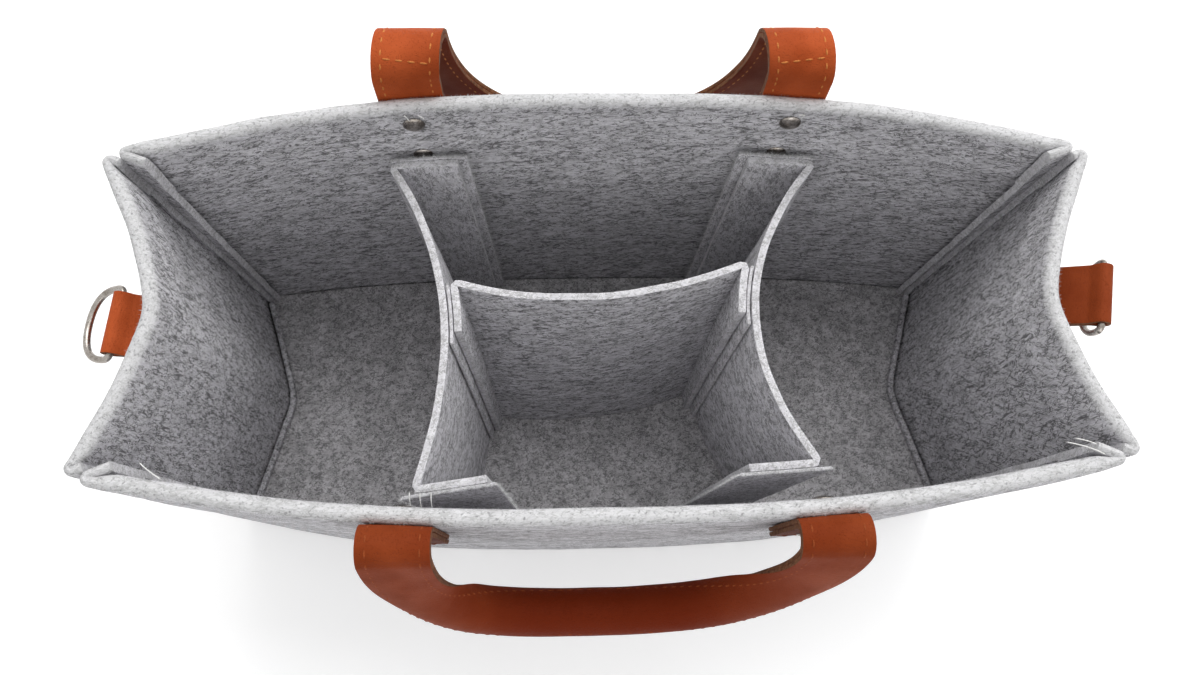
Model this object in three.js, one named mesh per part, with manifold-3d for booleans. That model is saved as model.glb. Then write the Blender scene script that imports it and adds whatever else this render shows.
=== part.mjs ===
// Felt diaper caddy: a tub of bowed felt walls with turned hems and creased ends, a lift-out felt
// insert that makes four compartments, two riveted leather handles and a ring tab on each end.
// Millimetres, +Z up, +X along the length, +Y to the back, origin under the middle of the base.
import * as THREE from 'three';
import { mergeVertices } from 'three/addons/utils/BufferGeometryUtils.js';
import Module from 'manifold-3d';

// Felt tub, measured over the outer faces of the walls
const LENGTH_AT_RIM = 388;
const LENGTH_AT_BASE = 381;
const END_WIDTH_AT_RIM = 125.5;
const END_WIDTH_AT_BASE = 126;
const HEIGHT = 180;
const BACK_BOW_AT_RIM = 26.3;
const BACK_BOW_AT_BASE = 10;
const FRONT_BOW_AT_RIM = 20.5;
const FRONT_BOW_AT_BASE = 21;
const BOW_FULLNESS = 2.7;
const END_FOLD_AT_RIM = 19;
const END_FOLD_AT_BASE = 18;
const CREASE_ROUNDING_AT_RIM = 10;
const CREASE_ROUNDING_AT_BASE = 7;
const FELT = 3;
const HEM_DEPTH = 34;
const HEM_EDGE_BEVEL = 1;
const BASE_EDGE_RADIUS = 2.4;
const SEAM_ALLOWANCE = 6;
const BASE_SEAM_HEIGHT = 5;
const BASE_SEAM_LENGTH = 84;
const FIT = 0.3;

// Divider insert
const INSERT_HEIGHT = 141.5;
const FLANGE_WIDTH = 28;
const SHEET_FOLD = 4;
const FOLD_SHARE = 0.3;
const SHEET_EDGE_BEVEL = 0.8;
const DIVIDER_SPLAY = 7;
const WAIST_Y = 8;
const LEFT_DIVIDER = {
  sign: -1, backX: 90.5, waistX: 67.5, frontX: 77, backClearance: 3.4, frontClearance: 9.5,
};
const RIGHT_DIVIDER = {
  sign: 1, backX: 92.5, waistX: 63, frontX: 84, backClearance: 3.2, frontClearance: 16.5,
};
const PARTITION_LEFT = { yAtTop: 18.5, yAtBottom: -9.5 };
const PARTITION_RIGHT = { yAtTop: 25, yAtBottom: 1 };
const PARTITION_BOW = { atTop: 10, atBottom: 6.5 };
const PARTITION_FLANGE = { atTop: 20, atBottom: 9 };
const PARTITION_FIT = 0.7;
const SEAM_STRIP = 1.5;
const SEAM_STRIP_MARGIN = 5;
const SHEET_LEVELS = 6;
const BOW_STEPS = 14;
const FOLD_STEPS = 3;
const HOOK_TAPE = 1.6;
const HOOK_TAPE_PAST_TIP = 4;
const HOOK_TAPE_PAST_BACK_FOLD = 1;
const HOOK_TAPE_PAST_FRONT_FOLD = 5.5;
const STRIP_EDGE_BEVEL = 0.4;

// Leather handles: two layers sewn together, riveted to the outer face of a long wall
const STRAP_WIDTH = 26;
const LEATHER = 1.7;
const LAYER_GAP = 0.2;
const HANDLE_SPACING = 156;
const STRAP_END_LENGTH = 52;
const LOOP_HANG_DEGREES = 75;
const LOOP_FLARE = 1.4;
const FRONT_HANDLE = {
  rise: -2, curl: 5, lean: 0, drop: 82, standoff: 34, tiltDegrees: 45, squareness: 2.8,
};
const BACK_HANDLE = {
  rise: 9, curl: 9, lean: 3, drop: 80, standoff: 27, tiltDegrees: 20, squareness: 2.3,
};
const HINGE_GAP = 0.3;
const STRAP_STEP = 5;
const LEG_STEPS = 8;
const CURL_STEPS = 10;
const HANG_STEPS = 24;

// Rivets
const RIVET_CAP_RADIUS = 4.5;
const RIVET_CAP_HEIGHT = 1.5;
const RIVET_POST_RADIUS = 1.5;
const RIVET_BELOW_RIM = [11, 39];
const RIVET_SEGMENTS = 12;
const RIVET_HOLE_LENGTH = 50;

// Ring tabs and D-rings on the ends
const TAB_WIDTH = 25;
const TAB_LEG_LENGTH = 26;
const TAB_LEG_BELOW_RIM = 24;
const LEFT_TAB = { sign: -1, eyeOut: 14.5, eyeBelowRim: 20, shift: -2, turnDegrees: -6, droopDegrees: 27 };
const RIGHT_TAB = { sign: 1, eyeOut: 19.5, eyeBelowRim: 10, shift: 7, turnDegrees: -12, droopDegrees: 90 };
const TAB_SEAT_SAMPLES = 9;
const WIRE_RADIUS = 1.4;
const RING_SIDE_CLEARANCE = 0.7;
const RING_CORNER = 3;
const RING_DEPTH = 16;
const RING_STEPS = 28;
const WIRE_SIDES = 8;
const EYE_SEGMENTS = 16;

const WALL_STATIONS = 21;
const { lerp: mix, degToRad } = THREE.MathUtils;
const wasm = await Module();
wasm.setup();

const FINISHES = {
  felt: { color: 0xbfc0c3, roughness: 0.95, metalness: 0 },
  leather: { color: 0x9c4522, roughness: 0.5, metalness: 0 },
  nickel: { color: 0xb9b4aa, roughness: 0.3, metalness: 1 },
  hookTape: { color: 0xe9e9e6, roughness: 0.8, metalness: 0 },
};

const caddy = new THREE.Group();

// Adds one named sub-part to the caddy with a material of its own.
function addPart(name, geometry, finish) {
  const mesh = new THREE.Mesh(geometry, new THREE.MeshStandardMaterial(FINISHES[finish]));
  mesh.name = name;
  caddy.add(mesh);
}

// Closed solid for joining and cutting, from any closed geometry.
function toSolid(geometry) {
  const bare = geometry.clone();
  bare.deleteAttribute('normal');
  bare.deleteAttribute('uv');
  const merged = mergeVertices(bare);
  return new wasm.Manifold(new wasm.Mesh({
    numProp: 3,
    vertProperties: Float32Array.from(merged.attributes.position.array),
    triVerts: Uint32Array.from(merged.index.array),
  }));
}

function toGeometry(solid) {
  const mesh = solid.getMesh();
  const geometry = new THREE.BufferGeometry();
  geometry.setAttribute('position', new THREE.BufferAttribute(mesh.vertProperties, 3));
  geometry.setIndex(new THREE.BufferAttribute(mesh.triVerts, 1));
  return geometry;
}

// Skins a row of rings, each a closed outline of the same number of points. Open rows get flat caps,
// triangulated on the section's own plane outline.
function loft(rings, section = null) {
  const count = rings[0].length;
  const index = [];
  const spans = section ? rings.length - 1 : rings.length;
  for (let i = 0; i < spans; i += 1) {
    const next = (i + 1) % rings.length;
    for (let j = 0; j < count; j += 1) {
      const k = (j + 1) % count;
      index.push(i * count + j, i * count + k, next * count + k);
      index.push(i * count + j, next * count + k, next * count + j);
    }
  }
  if (section) {
    const last = (rings.length - 1) * count;
    const turn = Math.sign(THREE.ShapeUtils.area(section));
    for (const face of THREE.ShapeUtils.triangulateShape(section, [])) {
      const sameTurn = Math.sign(THREE.ShapeUtils.area(face.map((i) => section[i]))) === turn;
      const [a, b, c] = sameTurn ? face : face.toReversed();
      index.push(a, c, b);
      index.push(last + a, last + b, last + c);
    }
  }
  const geometry = new THREE.BufferGeometry().setFromPoints(rings.flat());
  geometry.setIndex(index);
  return facingOut(geometry);
}

// Turns a closed geometry right side out.
function facingOut(geometry) {
  const index = geometry.index.array;
  const [a, b, c] = [new THREE.Vector3(), new THREE.Vector3(), new THREE.Vector3()];
  let volume = 0;
  for (let i = 0; i < index.length; i += 3) {
    a.fromBufferAttribute(geometry.attributes.position, index[i]);
    b.fromBufferAttribute(geometry.attributes.position, index[i + 1]);
    c.fromBufferAttribute(geometry.attributes.position, index[i + 2]);
    volume += a.dot(b.cross(c));
  }
  if (volume < 0) geometry.setIndex(Array.from(index).reverse());
  return geometry;
}

// Tub walls. A wall is its outer face: a function of u, from -1 to 1 along it, and the height z.
const halfLength = (z) => mix(LENGTH_AT_BASE, LENGTH_AT_RIM, z / HEIGHT) / 2;
const halfEnd = (z) => mix(END_WIDTH_AT_BASE, END_WIDTH_AT_RIM, z / HEIGHT) / 2;

function longWall(sign, bowAtBase, bowAtRim) {
  const yAt = (x, z) => {
    const bow = mix(bowAtBase, bowAtRim, z / HEIGHT);
    return sign * (halfEnd(z) + bow * (1 - Math.abs(x / halfLength(z)) ** BOW_FULLNESS));
  };
  const outer = (u, z) => new THREE.Vector3(u * halfLength(z), yAt(u * halfLength(z), z), z);
  return { sign, yAt, outer };
}

// The middle of an end wall is folded inwards along a crease that is softer at the rim.
function endWall(sign) {
  const xAt = (y, z) => {
    const rounding = mix(CREASE_ROUNDING_AT_BASE, CREASE_ROUNDING_AT_RIM, z / HEIGHT);
    const run = (distance) => Math.hypot(distance, rounding) - rounding;
    const fold = mix(END_FOLD_AT_BASE, END_FOLD_AT_RIM, z / HEIGHT);
    return sign * (halfLength(z) - fold * (1 - run(y) / run(halfEnd(z))));
  };
  const outer = (u, z) => new THREE.Vector3(xAt(u * halfEnd(z), z), u * halfEnd(z), z);
  return { sign, xAt, outer };
}

const backWall = longWall(1, BACK_BOW_AT_BASE, BACK_BOW_AT_RIM);
const frontWall = longWall(-1, FRONT_BOW_AT_BASE, FRONT_BOW_AT_RIM);
const leftWall = endWall(-1);
const rightWall = endWall(1);

// Unit vector along a wall at u, in the direction of growing u.
function along(wall, u, z) {
  const step = 0.01;
  const ahead = wall.outer(Math.min(u + step, 1), z);
  return ahead.sub(wall.outer(Math.max(u - step, -1), z)).normalize();
}

// Horizontal unit vector into the tub, square to a wall at u.
function inward(wall, u, z) {
  const run = along(wall, u, z);
  const normal = new THREE.Vector3(-run.y, run.x, 0);
  return normal.dot(wall.outer(u, z)) > 0 ? normal.negate() : normal;
}

// Direction of the seam plane at the corner that a wall's end u meets.
function mitre(wall, u, z) {
  const corner = wall.outer(u, z);
  const onEnd = wall === leftWall || wall === rightWall;
  const neighbours = onEnd ? [frontWall, backWall] : [leftWall, rightWall];
  const other = neighbours[u < 0 ? 0 : 1];
  const otherU = onEnd ? Math.sign(corner.x) : Math.sign(corner.y);
  return inward(wall, u, z).add(inward(other, otherU, z)).normalize();
}

// Point at depth n under a wall's outer face. Corners are mitred, half a seam gap from the seam plane.
function wallPoint(wall, u, n, z) {
  const point = wall.outer(u, z);
  const normal = inward(wall, u, z);
  if (Math.abs(u) < 1) return point.addScaledVector(normal, n);
  const seam = mitre(wall, u, z);
  const toMiddle = along(wall, u, z).multiplyScalar(-u);
  const gapAlong = FIT / 2 / Math.sqrt(1 - toMiddle.dot(seam) ** 2);
  return point.addScaledVector(seam, n / seam.dot(normal)).addScaledVector(toMiddle, gapAlong);
}

// Section of a wall: one layer of felt whose top is turned inwards as a hem.
function wallSection() {
  const section = new THREE.Shape();
  section.moveTo(FELT, 0);
  section.absarc(BASE_EDGE_RADIUS, BASE_EDGE_RADIUS, BASE_EDGE_RADIUS, -Math.PI / 2, -Math.PI, true);
  section.absarc(FELT, HEIGHT - FELT, FELT, Math.PI, 0, true);
  section.lineTo(2 * FELT, HEIGHT - HEM_DEPTH + HEM_EDGE_BEVEL);
  section.lineTo(2 * FELT - HEM_EDGE_BEVEL, HEIGHT - HEM_DEPTH);
  section.lineTo(FELT, HEIGHT - HEM_DEPTH);
  return section.getPoints(3);
}

// Raw edge of a wall, turned into the tub along the seam at its end u.
function seamAllowance(wall, u) {
  const ring = (z) => {
    const corner = wall.outer(u, z);
    const seam = mitre(wall, u, z);
    const toMiddle = along(wall, u, z).multiplyScalar(-u);
    const side = toMiddle.addScaledVector(seam, -toMiddle.dot(seam)).normalize();
    const reach = [FELT / 2, FELT * Math.SQRT2 + SEAM_ALLOWANCE];
    const at = (depth, offset) => corner.clone().addScaledVector(seam, depth).addScaledVector(side, offset);
    return [
      at(reach[0], FIT),
      at(reach[1], FIT),
      at(reach[1], FIT + FELT),
      at(reach[0], FIT + FELT),
    ];
  };
  const section = [[0, 0], [1, 0], [1, 1], [0, 1]].map(([x, y]) => new THREE.Vector2(x, y));
  return loft([ring(FELT + FIT), ring(HEIGHT - FELT)], section);
}

function wallSolid(wall) {
  const section = wallSection();
  const rings = [];
  for (let i = 0; i < WALL_STATIONS; i += 1) {
    const u = (2 * i) / (WALL_STATIONS - 1) - 1;
    rings.push(section.map((p) => wallPoint(wall, u, p.x, p.y)));
  }
  let solid = toSolid(loft(rings, section));
  for (const u of [-1, 1]) solid = solid.add(toSolid(seamAllowance(wall, u)));
  return solid;
}

// Base felt inside the walls, with its end edges turned up as seam allowances.
function basePanel() {
  const depth = FELT + FIT;
  const edge = [];
  const run = (wall, from) => {
    for (let i = 0; i < WALL_STATIONS - 1; i += 1) {
      const u = from * (1 - (2 * i) / (WALL_STATIONS - 1));
      const point = wallPoint(wall, u, depth, 0);
      edge.push(new THREE.Vector2(point.x, point.y));
    }
  };
  run(frontWall, -1);
  run(rightWall, -1);
  run(backWall, 1);
  run(leftWall, 1);
  const floor = new THREE.ExtrudeGeometry(new THREE.Shape(edge), { depth: FELT, bevelEnabled: false });
  let solid = toSolid(floor);
  for (const wall of [leftWall, rightWall]) solid = solid.add(toSolid(baseSeam(wall)));
  return toGeometry(solid);
}

function baseSeam(wall) {
  const section = [[0, 0], [FELT, 0], [FELT, 1], [0, 1]].map(([x, y]) => new THREE.Vector2(x, y));
  const reach = BASE_SEAM_LENGTH / END_WIDTH_AT_BASE;
  const rings = [];
  for (let i = 0; i < WALL_STATIONS; i += 1) {
    const u = reach * ((2 * i) / (WALL_STATIONS - 1) - 1);
    rings.push(section.map((p) => {
      const point = wallPoint(wall, u, FELT + FIT + p.x, 0);
      return point.setZ(FELT / 2 + p.y * (FELT / 2 + BASE_SEAM_HEIGHT));
    }));
  }
  return loft(rings, section);
}

// Felt sheet standing on edge: pathAt(z) gives its centre line in plan, with the same stations at
// every height.
function sheet(pathAt, bottom, height, thickness, bevel) {
  const half = thickness / 2;
  const rows = Array.from({ length: SHEET_LEVELS }, (_, i) => (i * (height - bevel)) / (SHEET_LEVELS - 1));
  const section = [
    ...rows.map((z) => new THREE.Vector2(half, z)),
    new THREE.Vector2(half - bevel / 2, height),
    new THREE.Vector2(bevel / 2 - half, height),
    ...rows.reverse().map((z) => new THREE.Vector2(-half, z)),
  ];
  const paths = section.map((p) => pathAt(bottom + p.y));
  const rings = paths[0].map((_, i) => section.map((p, j) => {
    const path = paths[j];
    const ahead = path[Math.min(i + 1, path.length - 1)];
    const run = ahead.clone().sub(path[Math.max(i - 1, 0)]).normalize();
    return new THREE.Vector3(path[i].x - run.y * p.x, path[i].y + run.x * p.x, bottom + p.y);
  }));
  return loft(rings, section);
}

// Plan path through corners, each turned with a small fold that takes at most its share of the
// stretch beside it; the stretch after corner `bent` is a curve through the point `via` at its middle.
function foldedPath(corners, bent, via) {
  const points = [corners[0]];
  const toward = (from, to) => {
    const length = Math.min(SHEET_FOLD, from.distanceTo(to) * FOLD_SHARE);
    return to.clone().sub(from).setLength(length).add(from);
  };
  const curveTo = (control, end, steps) => {
    const curve = new THREE.QuadraticBezierCurve(points[points.length - 1], control, end);
    points.push(...curve.getPoints(steps).slice(1));
  };
  for (let i = 1; i < corners.length - 1; i += 1) {
    const enter = toward(corners[i], i - 1 === bent ? via : corners[i - 1]);
    const leave = toward(corners[i], i === bent ? via : corners[i + 1]);
    if (i - 1 === bent) {
      const middle = points[points.length - 1].clone().lerp(enter, 0.5);
      curveTo(via.clone().multiplyScalar(2).sub(middle), enter, BOW_STEPS);
    } else {
      points.push(enter);
    }
    curveTo(corners[i], leave, FOLD_STEPS);
  }
  points.push(corners[corners.length - 1]);
  return points;
}

// Insert. Flanges at both ends of a divider lie along the long walls, with hook tape sewn behind them.
// The partition's ends are folded to the front, over a felt strip on each divider.
const INSERT_FOOT = FELT + FIT;
const FLANGE_INSET = FELT + HOOK_TAPE + FIT + FELT / 2;
const insertShare = (z) => (z - INSERT_FOOT) / INSERT_HEIGHT;
const splay = (z) => DIVIDER_SPLAY * (1 - insertShare(z));

function flangeLine(divider, wall, z) {
  const clearance = wall === backWall ? divider.backClearance : divider.frontClearance;
  const outerX = (wall === backWall ? divider.backX : divider.frontX) - splay(z);
  const place = (x) => {
    const y = wall.yAt(divider.sign * x, z) - wall.sign * (FLANGE_INSET + clearance);
    return new THREE.Vector2(divider.sign * x, y);
  };
  return { fold: place(outerX), tip: place(outerX - FLANGE_WIDTH) };
}

function dividerPath(divider, z) {
  const back = flangeLine(divider, backWall, z);
  const front = flangeLine(divider, frontWall, z);
  const waist = new THREE.Vector2(divider.sign * (divider.waistX - splay(z)), WAIST_Y);
  return foldedPath([back.tip, back.fold, front.fold, front.tip], 1, waist);
}

// Point and direction on a divider's centre line where it crosses y.
function onDivider(divider, z, y) {
  const path = dividerPath(divider, z);
  const next = path.findIndex((p, i) => i > 0 && path[i - 1].y >= y && p.y < y);
  const [a, b] = [path[next - 1], path[next]];
  return { point: a.clone().lerp(b, (a.y - y) / (a.y - b.y)), run: b.clone().sub(a).normalize() };
}

// Points beside a divider, on the side of the partition: at the partition's fold, half way and at the
// front edge of a strip that runs past its flange by a margin.
function besideDivider(divider, end, z, offset, margin) {
  const share = insertShare(z);
  const y = mix(end.yAtBottom, end.yAtTop, share);
  const width = mix(PARTITION_FLANGE.atBottom, PARTITION_FLANGE.atTop, share) + margin;
  return [0, 0.5, 1].map((part) => {
    const { point, run } = onDivider(divider, z, y - part * width);
    const aside = new THREE.Vector2(-divider.sign, 0);
    return point.add(aside.addScaledVector(run, -aside.dot(run)).setLength(offset));
  });
}

const STRIP_OFFSET = (FELT + SEAM_STRIP) / 2 + PARTITION_FIT;
const PARTITION_OFFSET = STRIP_OFFSET + (SEAM_STRIP + FELT) / 2 + PARTITION_FIT;

function partitionPath(z) {
  const left = besideDivider(LEFT_DIVIDER, PARTITION_LEFT, z, PARTITION_OFFSET, 0);
  const right = besideDivider(RIGHT_DIVIDER, PARTITION_RIGHT, z, PARTITION_OFFSET, 0);
  const middle = left[0].clone().lerp(right[0], 0.5);
  middle.y -= mix(PARTITION_BOW.atBottom, PARTITION_BOW.atTop, insertShare(z));
  return foldedPath([...left.reverse(), ...right], left.length - 1, middle);
}

function tapePath(divider, wall, z) {
  const { fold, tip } = flangeLine(divider, wall, z);
  const run = fold.clone().sub(tip).normalize();
  const pastFold = wall === backWall ? HOOK_TAPE_PAST_BACK_FOLD : HOOK_TAPE_PAST_FRONT_FOLD;
  const offset = wall.sign * ((FELT + HOOK_TAPE) / 2 + FIT);
  tip.addScaledVector(run, -HOOK_TAPE_PAST_TIP);
  fold.addScaledVector(run, pastFold);
  return [tip, fold].map((point) => point.setY(point.y + offset));
}

// Handles
const STRAP_THICKNESS = 2 * LEATHER + LAYER_GAP;
const STRAP_CENTRE = FIT + STRAP_THICKNESS / 2;
const STRAP_X = HANDLE_SPACING / 2;

// Half of a handle's centre line, as points with the direction its upper face looks in: up the wall,
// over the curl, and down a hanging quarter loop to the middle of the handle.
function strapHalf(wall, handle) {
  const out = (z) => Math.abs(wall.yAt(STRAP_X, z)) + STRAP_CENTRE;
  const yaw = Math.atan2(Math.abs(along(wall, STRAP_X / halfLength(HEIGHT), HEIGHT).y), 1);
  const foot = HEIGHT - STRAP_END_LENGTH;
  const curlZ = HEIGHT + handle.rise;
  const curlOut = out(curlZ) + handle.curl;
  const points = [];
  const add = (x, outY, z, look) => points.push({ at: new THREE.Vector3(x, outY, z), look });
  const facing = (outLook, zLook, turn) => (
    new THREE.Vector3(Math.sin(turn) * outLook, Math.cos(turn) * outLook, zLook)
  );
  for (let i = 0; i <= LEG_STEPS; i += 1) {
    const z = mix(foot, curlZ, i / LEG_STEPS);
    add(STRAP_X, out(z), z, facing(-1, 0, yaw));
  }
  for (let i = 1; i <= CURL_STEPS; i += 1) {
    const turn = (degToRad(90 + LOOP_HANG_DEGREES) * i) / CURL_STEPS;
    const [c, s] = [Math.cos(turn), Math.sin(turn)];
    const look = facing(-c, s, yaw * Math.max(0, c));
    const x = STRAP_X - handle.lean * (i / CURL_STEPS);
    add(x, curlOut - handle.curl * c, curlZ + handle.curl * s, look);
  }
  const start = points[points.length - 1].at.clone();
  const wallOut = out(HEIGHT) - STRAP_CENTRE;
  const power = 2 / handle.squareness;
  for (let i = 1; i <= HANG_STEPS; i += 1) {
    const angle = (Math.PI / 2) * (i / HANG_STEPS);
    const fall = Math.sin(angle) ** power;
    const outY = mix(start.y, wallOut + handle.standoff, fall ** LOOP_FLARE);
    const tilt = degToRad(mix(90 - LOOP_HANG_DEGREES, handle.tiltDegrees, fall));
    const look = facing(Math.cos(tilt), Math.sin(tilt), 0);
    add(start.x * Math.cos(angle) ** power, outY, start.z - handle.drop * fall, look);
  }
  return points;
}

// Stations of a whole handle at even steps, from the right end to the left end.
function strapStations(wall, handle) {
  const half = strapHalf(wall, handle);
  const mirrored = half.slice(0, -1).reverse().map(({ at, look }) => ({
    at: at.clone().setX(-at.x),
    look: look.clone().setX(-look.x),
  }));
  const points = [...half, ...mirrored];
  const reach = [0];
  for (let i = 1; i < points.length; i += 1) {
    reach.push(reach[i - 1] + points[i].at.distanceTo(points[i - 1].at));
  }
  const stationAt = (distance) => {
    const s = THREE.MathUtils.clamp(distance, 0, reach[reach.length - 1]);
    const i = Math.max(1, reach.findIndex((r) => r >= s));
    const share = (s - reach[i - 1]) / (reach[i] - reach[i - 1]);
    return {
      at: points[i - 1].at.clone().lerp(points[i].at, share),
      look: points[i - 1].look.clone().lerp(points[i].look, share),
    };
  };
  const curlTop = STRAP_END_LENGTH + handle.rise + (handle.curl * Math.PI) / 2;
  return { stationAt, length: reach[reach.length - 1], curlTop };
}

// One leather layer of a strap between two distances along it, from the height near to the height far
// over the strap's middle surface.
function strapLayer(wall, strap, from, to, near, far) {
  const section = [[-1, near], [1, near], [1, far], [-1, far]]
    .map(([side, depth]) => new THREE.Vector2((side * STRAP_WIDTH) / 2, depth));
  const count = Math.max(2, Math.round((to - from) / STRAP_STEP));
  const rings = [];
  for (let i = 0; i <= count; i += 1) {
    const distance = mix(from, to, i / count);
    const { at, look } = strap.stationAt(distance);
    const nudge = STRAP_STEP / 4;
    const run = strap.stationAt(distance + nudge).at.sub(strap.stationAt(distance - nudge).at).normalize();
    const normal = look.addScaledVector(run, -look.dot(run)).normalize();
    const across = new THREE.Vector3().crossVectors(run, normal);
    rings.push(section.map((p) => {
      const point = at.clone().addScaledVector(across, p.x).addScaledVector(normal, p.y);
      return point.setY(wall.sign * point.y);
    }));
  }
  return loft(rings, section);
}

// Place and outward direction of the rivets of the strap end at side, on the wall's outer face.
function rivetSeats(wall, side) {
  const u = (side * STRAP_X) / halfLength(HEIGHT);
  return RIVET_BELOW_RIM.map((below) => {
    const z = HEIGHT - below;
    const at = new THREE.Vector3(side * STRAP_X, wall.yAt(side * STRAP_X, z), z);
    const wallDepth = below < HEM_DEPTH ? 2 * FELT : FELT;
    const slope = wall.yAt(at.x, z + 0.5) - wall.yAt(at.x, z - 0.5);
    const out = inward(wall, u, z).negate().setZ(-wall.sign * slope).normalize();
    return { at, out, wallDepth };
  });
}

// Double-cap rivet along +Y: a domed cap on each side of the grip, joined by the post.
function rivet({ at, out, wallDepth }) {
  const inner = -(wallDepth + FIT);
  const outer = FIT + STRAP_THICKNESS + FIT;
  const profile = new THREE.Path();
  profile.moveTo(0, inner - RIVET_CAP_HEIGHT);
  profile.quadraticCurveTo(RIVET_CAP_RADIUS, inner - RIVET_CAP_HEIGHT, RIVET_CAP_RADIUS, inner);
  profile.lineTo(RIVET_POST_RADIUS, inner);
  profile.lineTo(RIVET_POST_RADIUS, outer);
  profile.lineTo(RIVET_CAP_RADIUS, outer);
  profile.quadraticCurveTo(RIVET_CAP_RADIUS, outer + RIVET_CAP_HEIGHT, 0, outer + RIVET_CAP_HEIGHT);
  return placedAlong(new THREE.LatheGeometry(profile.getPoints(3), RIVET_SEGMENTS), at, out);
}

function rivetHole({ at, out }) {
  const radius = RIVET_POST_RADIUS + FIT;
  const drill = new THREE.CylinderGeometry(radius, radius, RIVET_HOLE_LENGTH, RIVET_SEGMENTS);
  return toSolid(placedAlong(drill, at, out));
}

// Turns a geometry from the +Y direction to another and moves it into place.
function placedAlong(geometry, at, direction) {
  const turn = new THREE.Quaternion().setFromUnitVectors(new THREE.Vector3(0, 1, 0), direction);
  return geometry.applyQuaternion(turn).translate(at.x, at.y, at.z);
}

function addHandle(name, wall, handle) {
  const strap = strapStations(wall, handle);
  const layers = [
    { label: 'face', near: LAYER_GAP / 2, far: STRAP_THICKNESS / 2 },
    { label: 'lining', near: -LAYER_GAP / 2, far: -STRAP_THICKNESS / 2 },
  ];
  const fixed = strap.curlTop - HINGE_GAP / 2;
  const loopFrom = strap.curlTop + HINGE_GAP / 2;
  for (const { label, near, far } of layers) {
    const loop = strapLayer(wall, strap, loopFrom, strap.length - loopFrom, near, far);
    addPart(`${name}_handle_${label}`, loop, 'leather');
    for (const [side, sideName] of [[1, 'right'], [-1, 'left']]) {
      const from = side > 0 ? 0 : strap.length - fixed;
      let end = toSolid(strapLayer(wall, strap, from, from + fixed, near, far));
      for (const seat of rivetSeats(wall, side)) end = end.subtract(rivetHole(seat));
      addPart(`${name}_${sideName}_strap_end_${label}`, toGeometry(end), 'leather');
    }
  }
  for (const [side, sideName] of [[1, 'right'], [-1, 'left']]) {
    rivetSeats(wall, side).forEach((seat, i) => {
      addPart(`${name}_${sideName}_${i === 0 ? 'upper' : 'lower'}_rivet`, rivet(seat), 'nickel');
    });
  }
  const top = strap.stationAt(strap.curlTop).at;
  caddy.userData[`${name}HandlePivot`] = [0, wall.sign * top.y, top.z + STRAP_THICKNESS / 2];
}

// Ring tabs: a leather strip folded round the bar of the ring, both ends sewn to the end wall.
function extrudedAcross(shape) {
  const settings = { depth: TAB_WIDTH, bevelEnabled: false, curveSegments: EYE_SEGMENTS / 2 };
  const geometry = new THREE.ExtrudeGeometry(shape, settings);
  return geometry.rotateX(Math.PI / 2).translate(0, TAB_WIDTH / 2, 0);
}

function slab(from, to, thickness) {
  const run = to.clone().sub(from).normalize();
  const side = new THREE.Vector2(-run.y, run.x).multiplyScalar(thickness / 2);
  const corners = [
    from.clone().sub(side),
    to.clone().sub(side),
    to.clone().add(side),
    from.clone().add(side),
  ];
  return extrudedAcross(new THREE.Shape(corners));
}

function disc(centre, radius) {
  return extrudedAcross(new THREE.Shape().absarc(centre.x, centre.y, radius, 0, 2 * Math.PI, false));
}

// Distance from the middle of the caddy at which a tab, turned and shifted along the end, clears the wall.
function tabSeat(tab) {
  const slope = -Math.tan(degToRad(tab.turnDegrees)) * tab.sign;
  const gaps = [];
  for (let i = 0; i < TAB_SEAT_SAMPLES; i += 1) {
    const aside = TAB_WIDTH * (i / (TAB_SEAT_SAMPLES - 1) - 0.5);
    for (const below of [TAB_LEG_BELOW_RIM, TAB_LEG_BELOW_RIM + TAB_LEG_LENGTH]) {
      gaps.push(rightWall.xAt(tab.shift + aside, HEIGHT - below) - slope * aside);
    }
  }
  return Math.max(...gaps) + FIT;
}

// Moves a geometry from a tab's own frame, seated at x = 0 and reaching out along +X, to its end.
function onEnd(geometry, tab) {
  const turn = degToRad(tab.turnDegrees) + (tab.sign > 0 ? 0 : Math.PI);
  return geometry.rotateZ(turn).translate(tab.sign * tabSeat(tab), tab.shift, 0);
}

const eyeOf = (tab) => new THREE.Vector2(tab.eyeOut, HEIGHT - tab.eyeBelowRim);

function ringTab(tab) {
  const thickness = 2 * LEATHER;
  const bore = WIRE_RADIUS + FIT;
  const eye = eyeOf(tab);
  const bend = new THREE.Vector2(thickness / 2, HEIGHT - TAB_LEG_BELOW_RIM);
  const foot = new THREE.Vector2(thickness / 2, HEIGHT - TAB_LEG_BELOW_RIM - TAB_LEG_LENGTH);
  let solid = toSolid(slab(foot, bend, thickness)).add(toSolid(disc(bend, thickness / 2)));
  solid = solid.add(toSolid(slab(bend, eye, thickness))).add(toSolid(disc(eye, bore + LEATHER)));
  const drill = new THREE.CylinderGeometry(bore, bore, 2 * TAB_WIDTH, EYE_SEGMENTS);
  return onEnd(toGeometry(solid.subtract(toSolid(drill.translate(eye.x, 0, eye.y)))), tab);
}

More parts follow.
